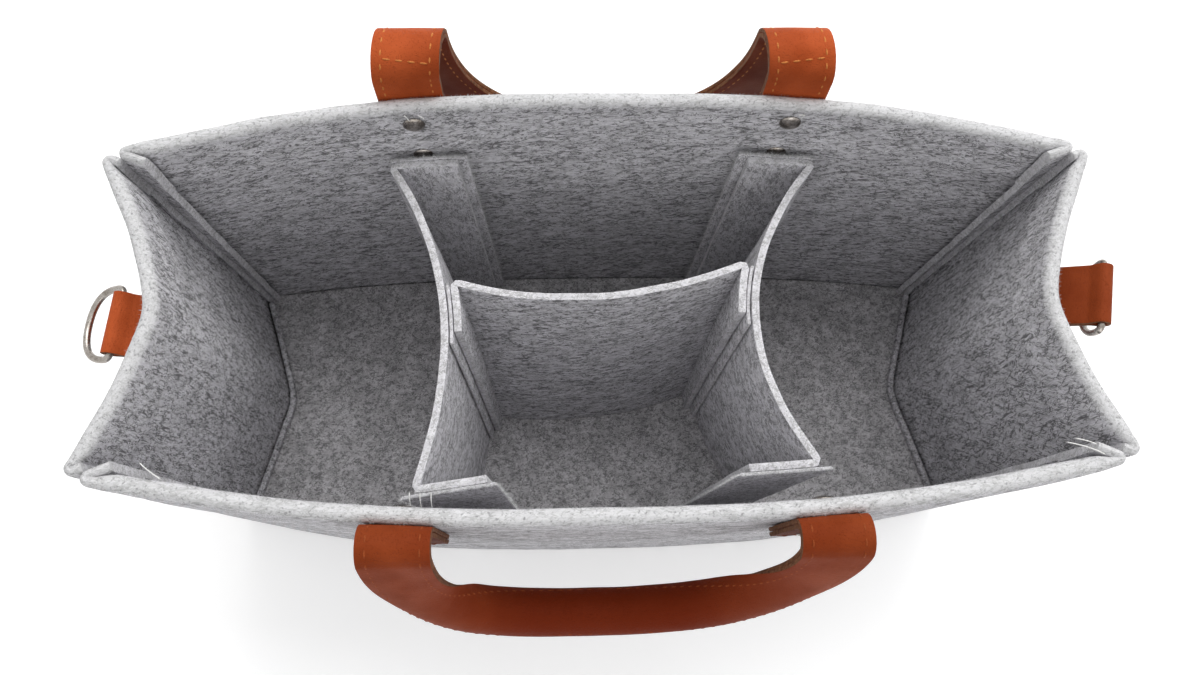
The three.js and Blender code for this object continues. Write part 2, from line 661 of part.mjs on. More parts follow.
// D-ring of round wire: a straight bar in the tab's eye and a half-round bow, drooping by an angle.
function dRing(tab) {
  const half = TAB_WIDTH / 2 + RING_SIDE_CLEARANCE + WIRE_RADIUS;
  const eye = eyeOf(tab);
  const droop = degToRad(tab.droopDegrees);
  const outline = new THREE.Path();
  outline.moveTo(0, 0);
  outline.lineTo(half - RING_CORNER, 0);
  outline.quadraticCurveTo(half, 0, half, RING_CORNER);
  outline.quadraticCurveTo(half, RING_DEPTH, 0, RING_DEPTH);
  outline.quadraticCurveTo(-half, RING_DEPTH, -half, RING_CORNER);
  outline.quadraticCurveTo(-half, 0, RING_CORNER - half, 0);
  outline.lineTo(0, 0);
  const centres = outline.getSpacedPoints(RING_STEPS).slice(0, RING_STEPS);
  const depthDirection = new THREE.Vector3(Math.cos(droop), 0, -Math.sin(droop));
  const place = (p) => new THREE.Vector3(eye.x, p.x, eye.y).addScaledVector(depthDirection, p.y);
  const flat = new THREE.Vector3().crossVectors(new THREE.Vector3(0, 1, 0), depthDirection);
  const rings = centres.map((p, i) => {
    const ahead = place(centres[(i + 1) % RING_STEPS]);
    const run = ahead.sub(place(centres[(i + RING_STEPS - 1) % RING_STEPS])).normalize();
    const across = new THREE.Vector3().crossVectors(run, flat);
    return Array.from({ length: WIRE_SIDES }, (_, k) => {
      const angle = (2 * Math.PI * k) / WIRE_SIDES;
      return place(p)
        .addScaledVector(across, WIRE_RADIUS * Math.cos(angle))
        .addScaledVector(flat, WIRE_RADIUS * Math.sin(angle));
    });
  });
  return onEnd(loft(rings), tab);
}

// Assembly
for (const [name, wall] of [['back', backWall], ['front', frontWall]]) {
  let solid = wallSolid(wall);
  for (const side of [-1, 1]) {
    for (const seat of rivetSeats(wall, side)) solid = solid.subtract(rivetHole(seat));
  }
  addPart(`${name}_panel`, toGeometry(solid), 'felt');
}
addPart('left_end_panel', toGeometry(wallSolid(leftWall)), 'felt');
addPart('right_end_panel', toGeometry(wallSolid(rightWall)), 'felt');
addPart('base_panel', basePanel(), 'felt');

for (const [name, divider] of [['left', LEFT_DIVIDER], ['right', RIGHT_DIVIDER]]) {
  const path = (z) => dividerPath(divider, z);
  const panel = sheet(path, INSERT_FOOT, INSERT_HEIGHT, FELT, SHEET_EDGE_BEVEL);
  addPart(`${name}_divider`, panel, 'felt');
  for (const [end, wall] of [['back', backWall], ['front', frontWall]]) {
    const strip = (z) => tapePath(divider, wall, z);
    const tape = sheet(strip, INSERT_FOOT, INSERT_HEIGHT, HOOK_TAPE, STRIP_EDGE_BEVEL);
    addPart(`${name}_${end}_hook_tape`, tape, 'hookTape');
  }
}
for (const [name, divider, end] of [
  ['left', LEFT_DIVIDER, PARTITION_LEFT],
  ['right', RIGHT_DIVIDER, PARTITION_RIGHT],
]) {
  const strip = (z) => besideDivider(divider, end, z, STRIP_OFFSET, SEAM_STRIP_MARGIN);
  const doubler = sheet(strip, INSERT_FOOT, INSERT_HEIGHT, SEAM_STRIP, STRIP_EDGE_BEVEL);
  addPart(`${name}_seam_strip`, doubler, 'felt');
}
const partition = sheet(partitionPath, INSERT_FOOT, INSERT_HEIGHT, FELT, SHEET_EDGE_BEVEL);
addPart('cross_partition', partition, 'felt');

addHandle('back', backWall, BACK_HANDLE);
addHandle('front', frontWall, FRONT_HANDLE);

for (const [name, tab] of [['left', LEFT_TAB], ['right', RIGHT_TAB]]) {
  addPart(`${name}_ring_tab`, ringTab(tab), 'leather');
  addPart(`${name}_d_ring`, dRing(tab), 'nickel');
  const bar = new THREE.BufferGeometry().setFromPoints([
    new THREE.Vector3(tab.eyeOut, 0, HEIGHT - tab.eyeBelowRim),
  ]);
  caddy.userData[`${name}RingPivot`] = Array.from(onEnd(bar, tab).attributes.position.array);
}

export default caddy;
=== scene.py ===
"""Felt diaper caddy: felt tub, lift-out divider insert, stitched leather handles and ring tabs.

Sizes are in millimetres in the same frame as the CAD solids; each piece is scaled to metres when its
mesh is made.
"""

import logging
import math
import random
from bisect import bisect_left
from dataclasses import dataclass, field
from enum import Enum
from typing import Callable, Sequence

import bmesh
import bpy
from mathutils import Matrix, Vector, noise


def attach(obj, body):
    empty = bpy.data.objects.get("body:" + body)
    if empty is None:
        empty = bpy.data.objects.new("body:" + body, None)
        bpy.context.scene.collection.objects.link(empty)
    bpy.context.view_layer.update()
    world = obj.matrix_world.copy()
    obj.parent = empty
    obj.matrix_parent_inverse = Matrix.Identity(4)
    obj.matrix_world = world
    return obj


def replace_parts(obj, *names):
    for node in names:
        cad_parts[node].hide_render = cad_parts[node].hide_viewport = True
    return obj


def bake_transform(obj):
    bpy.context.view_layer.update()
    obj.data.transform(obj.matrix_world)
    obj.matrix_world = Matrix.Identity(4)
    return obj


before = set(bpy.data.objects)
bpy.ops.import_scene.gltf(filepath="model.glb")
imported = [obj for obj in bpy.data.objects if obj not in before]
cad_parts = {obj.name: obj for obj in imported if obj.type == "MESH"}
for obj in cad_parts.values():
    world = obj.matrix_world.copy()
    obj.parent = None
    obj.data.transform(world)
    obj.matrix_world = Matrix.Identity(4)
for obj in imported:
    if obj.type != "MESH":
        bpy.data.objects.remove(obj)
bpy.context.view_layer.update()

MM = 0.001
UP = Vector((0, 0, 1))
LOG = logging.getLogger("caddy")

Colour = tuple[float, float, float]
Rgba = tuple[float, float, float, float]
Edge = list[tuple[Vector, Vector]]
Plan = Callable[[float], list[Vector]]
Place = Callable[[float, float], Vector]


def mix(a: float, b: float, share: float) -> float:
    """Value the given share of the way from a to b."""
    return a + (b - a) * share


def clamp(value: float, low: float = 0.0, high: float = 1.0) -> float:
    """Value kept between low and high."""
    return max(low, min(high, value))


def smooth(share: float) -> float:
    """Eased share, flat at 0 and 1."""
    share = clamp(share)
    return share * share * (3 - 2 * share)


def ripple(at: Vector, size: float, seed: float) -> float:
    """Smooth wander from -1 to 1.

    Args:
        at: Point in millimetres.
        size: Length of one swell in millimetres.
        seed: Offset that gives each piece its own wander.

    Returns:
        The noise value at the point.
    """
    return noise.noise(at / size + Vector((seed, 1.7 * seed, -seed)))


def curve(start: Vector, control: Vector, end: Vector, steps: int) -> list[Vector]:
    """Points of a quadratic curve, without its start.

    Args:
        start: First end.
        control: Point that pulls the curve.
        end: Last end.
        steps: Number of points.

    Returns:
        The points.
    """
    shares = [i / steps for i in range(1, steps + 1)]
    return [start * (1 - t) ** 2 + control * (2 * t * (1 - t)) + end * t * t for t in shares]


def resample(points: Sequence[Vector], count: int) -> list[Vector]:
    """Evenly spaced points along a polyline.

    Args:
        points: The polyline.
        count: Number of points to return, both ends included.

    Returns:
        The new points.
    """
    reach = [0.0]
    for a, b in zip(points, points[1:]):
        reach.append(reach[-1] + (b - a).length)
    found = []
    span = 1
    for i in range(count):
        distance = reach[-1] * i / (count - 1)
        while span < len(points) - 1 and reach[span] < distance:
            span += 1
        share = (distance - reach[span - 1]) / max(reach[span] - reach[span - 1], 1e-9)
        found.append(points[span - 1].lerp(points[span], clamp(share)))
    return found


@dataclass(frozen=True)
class Wave:
    """Unevenness of a hand-made sheet: the length of one swell and how far it stands out."""

    size: float
    depth: float

    def at(self, point: Vector, seed: float) -> float:
        """Height of the wave at a point."""
        return self.depth * ripple(point, self.size, seed)

    def toward(self, other: "Wave", share: float) -> "Wave":
        """Wave the given share of the way to another one."""
        return Wave(mix(self.size, other.size, share), mix(self.depth, other.depth, share))


class Body(Enum):
    """Moving bodies of the caddy."""

    SHELL = "shell"
    FRONT_HANDLE = "front_handle"
    BACK_HANDLE = "back_handle"
    LEFT_RING = "left_ring"
    RIGHT_RING = "right_ring"
    INSERT = "insert"


class Wall(Enum):
    """Walls of the tub."""

    BACK = "back"
    FRONT = "front"
    LEFT = "left"
    RIGHT = "right"

    @property
    def is_long(self) -> bool:
        """Whether it is the back or the front wall."""
        return self in (Wall.BACK, Wall.FRONT)

    @property
    def sign(self) -> int:
        """Side of the tub: 1 at the back and the right, -1 at the front and the left."""
        return 1 if self in (Wall.BACK, Wall.RIGHT) else -1


class Grain(Enum):
    """Way the fibres of a felt sheet run, as stretch factors along X, Y and Z."""

    LENGTHWISE = (0.22, 1.0, 1.0)
    UPRIGHT = (1.2, 1.2, 0.18)
    ACROSS = (1.0, 0.36, 0.45)
    MOTTLED = (0.60, 0.85, 1.0)


class NodeTree:
    """Small helper round one node tree."""

    def __init__(self, tree: bpy.types.NodeTree) -> None:
        """Take on a node tree."""
        self.nodes = tree.nodes
        self.links = tree.links

    def node(self, kind: str, inputs: dict | None = None, **settings: object) -> bpy.types.Node:
        """Add a node.

        Args:
            kind: Node type without the ShaderNode prefix.
            inputs: Values or sockets for its inputs by name or index.
            **settings: Attributes of the node.

        Returns:
            The node.
        """
        made = self.nodes.new("ShaderNode" + kind)
        for name, value in settings.items():
            setattr(made, name, value)
        for key, value in (inputs or {}).items():
            if isinstance(value, bpy.types.NodeSocket):
                self.links.new(value, made.inputs[key])
            else:
                made.inputs[key].default_value = value
        return made

    def math(self, operation: str, a: object, b: object = 0.0) -> bpy.types.NodeSocket:
        """Result socket of one math step on two values or sockets."""
        return self.node("Math", {0: a, 1: b}, operation=operation).outputs[0]

    def remap(self, value: object, low: float, high: float, start: float = 0.0,
              end: float = 1.0) -> bpy.types.NodeSocket:
        """Result socket of a clamped linear change of range."""
        settings = {"From Min": low, "From Max": high, "To Min": start, "To Max": end}
        return self.node("MapRange", {"Value": value, **settings}).outputs["Result"]

    def blend(self, factor: object, a: object, b: object) -> bpy.types.NodeSocket:
        """Result socket of a colour mixed from a to b by factor."""
        return self.node("Mix", {0: factor, 6: a, 7: b}, data_type="RGBA").outputs[2]

    def wander(self, vector: object, scale: float, detail: float = 2.0,
               bend: float = 0.0) -> bpy.types.NodeSocket:
        """Noise value socket at a scale per metre."""
        inputs = {"Vector": vector, "Scale": scale, "Detail": detail, "Distortion": bend}
        return self.node("TexNoise", inputs).outputs[0]

    def seen(self) -> bpy.types.NodeSocket:
        """Mask socket, 1 where the camera looks, straight or by way of a shiny or clear surface.

        Returns:
            The mask.
        """
        rays = self.node("LightPath").outputs
        indirect = self.math("MAXIMUM", rays["Is Glossy Ray"], rays["Is Transmission Ray"])
        return self.math("MAXIMUM", rays["Is Camera Ray"], indirect)


class Shader(NodeTree):
    """Node tree of one material."""

    def __init__(self, name: str) -> None:
        """Start a material with a Principled surface.

        Args:
            name: Name of the material.
        """
        self.material = bpy.data.materials.new(name)
        self.material.use_nodes = True
        super().__init__(self.material.node_tree)
        self.surface = self.nodes["Principled BSDF"]

    def set(self, **values: object) -> None:
        """Set constants on the surface's own sockets, with _ for a space in their names."""
        for name, value in values.items():
            self.surface.inputs[name.replace("_", " ")].default_value = value

    def place(self, scale: Sequence[float] = (1, 1, 1), turn: Sequence[float] = (0, 0, 0),
              shift: Sequence[float] = (0, 0, 0)) -> bpy.types.NodeSocket:
        """Object coordinates.

        Args:
            scale: Stretch along each axis.
            turn: Angles in radians, before the stretch.
            shift: Offset after the stretch.

        Returns:
            Vector socket.
        """
        where = self.node("TexCoord").outputs["Object"]
        turned = self.node("Mapping", {"Vector": where, "Rotation": turn}).outputs[0]
        return self.node("Mapping", {"Vector": turned, "Scale": scale, "Location": shift}).outputs[0]

    def bump(self, height: object, depth: float, strength: float) -> None:
        """Drive the surface's normal from a height socket."""
        made = self.node("Bump", {"Height": height, "Distance": depth, "Strength": strength})
        self.links.new(made.outputs[0], self.surface.inputs["Normal"])

    def colour(self, socket: bpy.types.NodeSocket) -> None:
        """Drive the surface's colour from a socket."""
        self.links.new(socket, self.surface.inputs["Base Color"])


def grey(level: float, warm: float = 0.0) -> Rgba:
    """Near-neutral colour; warm above 0 leans to brown, below 0 to blue."""
    return (level * (1 + warm), level, level * (1 - warm), 1.0)


@dataclass(frozen=True)
class FeltFinish:
    """Heathered felt: pale wool with dark fibres, cloudy patches and a fuzzy nap.

    Attributes:
        name: Name of the material.
        grain: Way its fibres run.
        pale: Grey level of its light patches.
        shade: Grey level of its dark patches.
        fibre: Grey level of its dark fibres.
        fibres: Strength of the single dark fibres.
        streaks: Strength of the soft streaks.
        rim: Heights in metres between which it turns white.
        tint: Tint of its wool.
    """

    name: str
    grain: Grain
    pale: float = 0.88
    shade: float = 0.66
    fibre: float = 0.05
    fibres: float = 0.80
    streaks: float = 0.40
    rim: tuple[float, float] = (0.1760, 0.1792)
    tint: Colour = (0.990, 0.974, 1.024)

    def dyed(self, level: float) -> Rgba:
        """Grey of the given level with the wool's faint tint."""
        red, green, blue = self.tint
        return (level * red, level * green, level * blue, 1.0)

    def make(self) -> bpy.types.Material:
        """Build the material, whiter from the rim's height up, where the fold spreads the fibres.

        Returns:
            The material.
        """
        s = Shader(self.name)
        stretch = self.grain.value
        along = s.place(stretch)
        lean = s.place(stretch, turn=(0.30, 0.34, 0.26), shift=(0.31, 0.17, 0.23))
        cross = s.place(stretch, turn=(-0.36, -0.28, -0.42), shift=(0.7, 0.4, 0.1))
        cloud = s.wander(s.place(), 110.0, 4.0)
        streak = s.wander(along, 1500.0, 3.0, 0.5)
        grain = s.wander(s.place(), 2600.0, 2.0)
        base = s.blend(s.remap(cloud, 0.32, 0.70), self.dyed(self.pale), self.dyed(self.shade))
        base = s.blend(s.remap(streak, 0.42, 0.68, 0.0, self.streaks), base, grey(self.fibre * 2.2))
        wool = self.strands(s, cross, 800.0, 0.11)
        base = s.blend(s.math("MULTIPLY", wool, 0.4), base, grey(0.90))
        dark = self.strands(s, along, 560.0, 0.055)
        for way, scale, width in ((lean, 700.0, 0.060), (cross, 900.0, 0.065)):
            dark = s.math("MAXIMUM", dark, self.strands(s, way, scale, width))
        base = s.blend(s.math("MULTIPLY", dark, self.fibres), base, grey(self.fibre, 0.03))
        base = s.blend(s.remap(grain, 0.40, 0.66, 0.0, 0.26), base, grey(self.fibre * 3.0))
        s.colour(self.whitened(s, base))
        s.bump(s.math("ADD", s.math("MULTIPLY", grain, 0.6), streak), 0.0008, 0.45)
        s.set(Roughness=0.97, Specular_IOR_Level=0.06, Sheen_Weight=0.06, Sheen_Roughness=0.6)
        return s.material

    def whitened(self, s: Shader, base: bpy.types.NodeSocket) -> bpy.types.NodeSocket:
        """Felt colour that turns to speckled white at the rim.

        Args:
            s: The material being built.
            base: Colour below the rim.

        Returns:
            Colour socket.
        """
        height = s.node("SeparateXYZ", {0: s.place()}).outputs["Z"]
        specks = s.remap(s.wander(s.place(), 900.0, 2.0), 0.56, 0.70, 0.0, 0.7)
        white = s.blend(specks, grey(0.62), grey(0.16))
        return s.blend(s.remap(height, *self.rim, 0.0, 0.70), base, white)

    @staticmethod
    def strands(s: Shader, vector: bpy.types.NodeSocket, scale: float,
                width: float) -> bpy.types.NodeSocket:
        """Mask of thin broken wavy lines.

        Args:
            s: The material being built.
            vector: Coordinates, stretched along the fibres.
            scale: Fibre density per metre.
            width: Half width of a line in noise units.

        Returns:
            Mask socket, 1 on a fibre.
        """
        ridge = s.math("ABSOLUTE", s.math("SUBTRACT", s.wander(vector, scale, 1.5, 0.8), 0.5))
        line = s.remap(ridge, width * 0.3, width, 1.0, 0.0)
        gaps = s.remap(s.wander(vector, scale * 0.62, 1.0), 0.50, 0.56)
        return s.math("MULTIPLY", line, gaps)


@dataclass(frozen=True)
class LeatherFinish:
    """Smooth cognac leather with fine pores, soft mottling and a dull satin face.

    Attributes:
        name: Name of the material.
        colour: Its light patches.
        deep: Its dark patches.
        pores_and_shade: Its pores, and the painted shade on the middle of the grip.
        grip: Distances in metres from the caddy's middle between which the painted shade fades.
        gloss: Its roughness.
    """

    name: str = "cognac_leather"
    colour: Colour = (0.245, 0.046, 0.012)
    deep: Colour = (0.185, 0.031, 0.007)
    pores_and_shade: Colour = (0.135, 0.014, 0.002)
    grip: tuple[float, float] = (0.035, 0.080)
    gloss: float = 0.54

    def make(self) -> bpy.types.Material:
        """Build the material, with painted shade that darkens it at the middle of the caddy's length.

        Returns:
            The material.
        """
        s = Shader(self.name)
        where = s.place()
        cloud = s.wander(where, 60.0, 4.0)
        pores = s.node("TexVoronoi", {"Vector": where, "Scale": 1350.0}).outputs["Distance"]
        creases = s.wander(where, 900.0, 3.0, 1.2)
        aside = s.math("ABSOLUTE", s.node("SeparateXYZ", {0: where}).outputs["X"])
        base = s.blend(s.remap(cloud, 0.35, 0.70), (*self.colour, 1), (*self.deep, 1))
        # Painted shade: the leather turns to its darkest colour near the middle of the caddy's length, on
        # the grip.
        base = s.blend(s.remap(aside, *self.grip, 0.85, 0.0), base, (*self.pores_and_shade, 1))
        base = s.blend(s.remap(pores, 0.05, 0.25, 0.42, 0.0), base, (*self.pores_and_shade, 1))
        s.colour(base)
        rough = s.remap(cloud, 0.3, 0.7, self.gloss - 0.05, self.gloss + 0.10)
        s.links.new(rough, s.surface.inputs["Roughness"])
        height = s.math("ADD", s.remap(pores, 0.0, 0.35), s.math("MULTIPLY", creases, 0.6))
        s.bump(height, 0.0005, 0.6)
        s.set(Specular_IOR_Level=0.06)
        return s.material


@dataclass(frozen=True)
class EdgeFinish:
    """Raw cut edge of the leather: brown, fibrous and dull."""

    name: str = "leather_cut_edge"
    pale: Colour = (0.20, 0.085, 0.040)
    dark: Colour = (0.065, 0.024, 0.011)

    def make(self) -> bpy.types.Material:
        """Build the material.

        Returns:
            The material.
        """
        s = Shader(self.name)
        wave = s.wander(s.place(), 700.0, 4.0, 0.8)
        s.colour(s.blend(s.remap(wave, 0.35, 0.68), (*self.pale, 1), (*self.dark, 1)))
        s.bump(wave, 0.0004, 0.6)
        s.set(Roughness=0.75, Specular_IOR_Level=0.12)
        return s.material


@dataclass(frozen=True)
class MetalFinish:
    """Nickel-plated steel with faint polishing marks and a warm tarnish in places."""

    name: str = "nickel"
    colour: Colour = (0.40, 0.37, 0.34)
    tarnish: Colour = (0.17, 0.14, 0.11)
    gloss: float = 0.24

    def make(self) -> bpy.types.Material:
        """Build the material.

        Returns:
            The material.
        """
        s = Shader(self.name)
        stain = s.wander(s.place(), 260.0, 4.0, 0.6)
        marks = s.wander(s.place((1, 1, 9)), 900.0, 2.0)
        s.colour(s.blend(s.remap(stain, 0.44, 0.74), (*self.colour, 1), (*self.tarnish, 1)))
        rough = s.remap(marks, 0.3, 0.7, self.gloss - 0.06, self.gloss + 0.12)
        s.links.new(rough, s.surface.inputs["Roughness"])
        s.bump(marks, 0.00005, 0.25)
        s.set(Metallic=1.0)
        return s.material


@dataclass(frozen=True)
class ThreadFinish:
    """Twisted sewing thread or loose wool, lighter and darker along its length."""

    name: str
    colour: Colour
    dark: Colour
    patch: float = 2400.0

    def make(self) -> bpy.types.Material:
        """Build the material.

        Returns:
            The material.
        """
        s = Shader(self.name)
        settings = {"Vector": s.place(turn=(0.4, 0.7, 0.6)), "Scale": 420.0, "Distortion": 1.0}
        twist = s.node("TexWave", settings).outputs[1]
        fuzz = s.wander(s.place(), self.patch, 2.0)
        s.colour(s.blend(s.remap(fuzz, 0.40, 0.68), (*self.colour, 1), (*self.dark, 1)))
        s.bump(twist, 0.0002, 0.5)
        s.set(Roughness=0.7, Specular_IOR_Level=0.2)
        return s.material


class Finishes:
    """Every material of the caddy, made once."""

    def __init__(self) -> None:
        """Build the materials."""
        self.felt_long = FeltFinish("felt_lengthwise", Grain.LENGTHWISE).make()
        self.felt_end = FeltFinish("felt_upright", Grain.UPRIGHT).make()
        self.felt_across = FeltFinish("felt_across", Grain.ACROSS, fibres=0.62, streaks=0.32).make()
        self.felt_base = FeltFinish("felt_mottled", Grain.MOTTLED, pale=0.80, shade=0.50, fibre=0.07,
                                    fibres=0.66, streaks=0.42, tint=(1.0, 0.975, 1.0)).make()
        self.raw_edge = FeltFinish("felt_raw_edge", Grain.MOTTLED, pale=0.80, shade=0.60, fibre=0.20,
                                   fibres=0.6, streaks=0.5).make()
        self.leather = LeatherFinish().make()
        # The two leather finishes are lit and shaded copies of one cognac leather: this lighter one carries
        # painted light, for the back handle and the left ring tab.
        self.painted_light_leather = LeatherFinish("cognac_leather_painted_light", (0.47, 0.092, 0.026),
                                          (0.36, 0.064, 0.016)).make()
        # The lining is a darker copy of the same cognac leather: painted shade for the strap's inner face.
        self.lining = LeatherFinish("leather_lining_painted_shade", (0.19, 0.048, 0.019), (0.12, 0.026, 0.010),
                                    gloss=0.6).make()
        self.edge = EdgeFinish().make()
        self.nickel = MetalFinish().make()
        self.orange = ThreadFinish("orange_thread", (0.30, 0.062, 0.012), (0.19, 0.036, 0.008)).make()
        self.amber = ThreadFinish("amber_thread", (0.62, 0.22, 0.055), (0.40, 0.125, 0.03)).make()
        self.white = ThreadFinish("white_thread", (0.84, 0.84, 0.82), (0.60, 0.60, 0.58)).make()
        self.wool = ThreadFinish("loose_wool", (0.84, 0.84, 0.84), (0.50, 0.50, 0.50), 420.0).make()


def new_piece(name: str, bm: bmesh.types.BMesh, *materials: bpy.types.Material) -> bpy.types.Object:
    """Make a mesh object from a bmesh in millimetres.

    Args:
        name: Name of the piece.
        bm: The mesh, which is freed.
        *materials: Its material slots.

    Returns:
        The object, at the origin, smooth shaded.
    """
    bmesh.ops.transform(bm, matrix=Matrix.Scale(MM, 4), verts=bm.verts)
    for face in bm.faces:
        face.smooth = True
    mesh = bpy.data.meshes.new(name)
    bm.to_mesh(mesh)
    bm.free()
    for material in materials:
        mesh.materials.append(material)
    piece = bpy.data.objects.new(name, mesh)
    bpy.context.scene.collection.objects.link(piece)
    LOG.info("%s: %d faces", name, len(mesh.polygons))
    return piece


def grid(columns: int, rows: int, place: Place) -> bmesh.types.BMesh:
    """Sheet of quads laid on a surface.

    Args:
        columns: Cells along the first way.
        rows: Cells along the second way.
        place: Surface point for two shares from 0 to 1.

    Returns:
        The mesh.
    """
    bm = bmesh.new()
    bmesh.ops.create_grid(bm, x_segments=columns, y_segments=rows, size=1.0)
    for vert in bm.verts:
        vert.co = place((vert.co.x + 1) / 2, (vert.co.y + 1) / 2)
    bmesh.ops.recalc_face_normals(bm, faces=bm.faces)
    return bm


def tube(line: Sequence[Vector], radius: float, sides: int, closed: bool = False) -> bmesh.types.BMesh:
    """Round wire or thread along a line.

    Args:
        line: Points of its middle.
        radius: Half its thickness.
        sides: Faces round it.
        closed: Whether its ends meet.

    Returns:
        The mesh, with its ends pinched shut where they don't meet.
    """
    count = len(line) if closed else len(line) - 1

    def spot(i: int) -> Vector:
        return line[i % len(line)] if closed else line[int(clamp(i, 0, count))]

    def place(along: float, around: float) -> Vector:
        i = round(along * count)
        run = (spot(i + 1) - spot(i - 1)).normalized()
        side = run.cross(UP if abs(run.z) < 0.9 else Vector((0, 1, 0))).normalized()
        angle = 2 * math.pi * around
        pinch = 1.0 if closed or 0 < i < count else 0.0
        return spot(i) + (side * math.cos(angle) + side.cross(run) * math.sin(angle)) * radius * pinch

    bm = grid(count, sides, place)
    bmesh.ops.remove_doubles(bm, verts=bm.verts, dist=1e-3)
    bmesh.ops.recalc_face_normals(bm, faces=bm.faces)
    return bm


def repeat(bm: bmesh.types.BMesh, count: int) -> list[list[bmesh.types.BMVert]]:
    """Repeat the one shape in a mesh.

    Args:
        bm: Mesh that holds the shape.
        count: Number of shapes wanted.

    Returns:
        The vertices of each shape, in the same order.
    """
    shapes = [list(bm.verts)]
    while len(shapes) < count:
        some = shapes[:count - len(shapes)]
        verts = [vert for shape in some for vert in shape]
        edges = {edge for vert in verts for edge in vert.link_edges}
        faces = {face for vert in verts for face in vert.link_faces}
        twin = bmesh.ops.duplicate(bm, geom=[*verts, *edges, *faces])["vert_map"]
        shapes += [[twin[vert] for vert in shape] for shape in some]
    return shapes


@dataclass(frozen=True)
class Stitch:
    """One stitch: its middle, the way it runs and the way out of the leather."""

    at: Vector
    run: Vector
    normal: Vector


def sew(stitches: Sequence[Stitch], length: float) -> bmesh.types.BMesh:
    """Rounded stitches that dip into the leather at their ends.

    Args:
        stitches: Where each stitch is.
        length: Length of one stitch.

    Returns:
        The mesh of them all.
    """
    half_width, half_height, dip = 0.42, 0.36, 0.12
    bm = bmesh.new()
    bmesh.ops.create_uvsphere(bm, u_segments=6, v_segments=5, radius=1.0)
    for one, verts in zip(stitches, repeat(bm, len(stitches))):
        side = one.normal.cross(one.run)
        for vert in verts:
            x, y, z = vert.co.z, vert.co.x, vert.co.y
            lift = z * half_height - dip * x * x
            vert.co = one.at + one.run * x * length / 2 + side * y * half_width + one.normal * lift
    return bm


def thicken(piece: bpy.types.Object, thickness: float, edge: float, segments: int = 2) -> None:
    """Give a sheet its thickness, half on each side, with eased edges and its second finish on them.

    Args:
        piece: The sheet.
        thickness: Thickness in millimetres.
        edge: Width of the eased edge in millimetres.
        segments: Steps across the eased edge.
    """
    solid = piece.modifiers.new("thickness", "SOLIDIFY")
    solid.thickness = thickness * MM
    solid.offset = 0.0
    solid.material_offset_rim = len(piece.data.materials) - 1
    ease = piece.modifiers.new("eased_edge", "BEVEL")
    ease.width = edge * MM
    ease.segments = segments
    ease.limit_method = "ANGLE"
    ease.angle_limit = math.radians(50)
    ease.profile = 0.5


def settle(piece: bpy.types.Object) -> None:
    """Apply the modifiers of a piece to its mesh.

    Args:
        piece: The piece.
    """
    bpy.context.view_layer.update()
    graph = bpy.context.evaluated_depsgraph_get()
    mesh = bpy.data.meshes.new_from_object(piece.evaluated_get(graph))
    piece.modifiers.clear()
    piece.data = mesh


@dataclass
class Nap:
    """Loose wool fibres standing off the edges of a felt sheet."""

    finishes: Finishes
    body: Body
    length: float = 1.3
    width: float = 0.09
    per_mm: float = 2.2
    disorder: float = 0.55

    def grow(self, name: str, edges: Sequence[Edge], seed: int) -> bpy.types.Object:
        """Fibres along edges.

        Args:
            name: Name of the piece.
            edges: Points along each edge, each with the way its fibres stand.
            seed: Seed of their scatter.

        Returns:
            The piece.
        """
        scatter = random.Random(seed)
        fibres = []
        for edge in edges:
            for (a, look), (b, _) in zip(edge, edge[1:]):
                gap = b - a
                for _ in range(int(gap.length * self.per_mm + scatter.random())):
                    lean = Vector([scatter.gauss(0, 1) for _ in range(3)])
                    way = (look + lean * self.disorder).normalized()
                    root = a + gap * scatter.random()
                    side = way.cross(lean).normalized() * self.width / 2
                    tip = root + way * self.length * scatter.uniform(0.3, 1.0)
                    fibres.append((root - side, root + side, tip))
        bm = bmesh.new()
        bmesh.ops.create_circle(bm, cap_ends=True, radius=1.0, segments=3)
        for fibre, verts in zip(fibres, repeat(bm, len(fibres))):
            for vert, at in zip(verts, fibre):
                vert.co = at
        piece = new_piece(name, bm, self.finishes.wool)
        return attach(piece, self.body.value)


@dataclass(frozen=True)
class LooseThread:
    """Loose end of white sewing thread, from one point to another with a rise between them."""

    start: tuple[float, float, float]
    end: tuple[float, float, float]
    rise: float
    body: Body = Body.SHELL
    radius: float = 0.24

    def build(self, name: str, finishes: Finishes) -> None:
        """Make the thread as a thin curved strand.

        Args:
            name: Name of the piece.
            finishes: The caddy's materials.
        """
        start, end = Vector(self.start), Vector(self.end)
        line = [start, *curve(start, (start + end) / 2 + UP * 2 * self.rise, end, 10)]
        piece = new_piece(name, tube(line, self.radius, 6), finishes.white)
        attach(piece, self.body.value)


@dataclass(frozen=True)
class SheetSpot:
    """Point on a wall's outer face in plan, the way into the felt, and how far it is pressed flat there."""

    at: Vector
    inside: Vector
    press: float


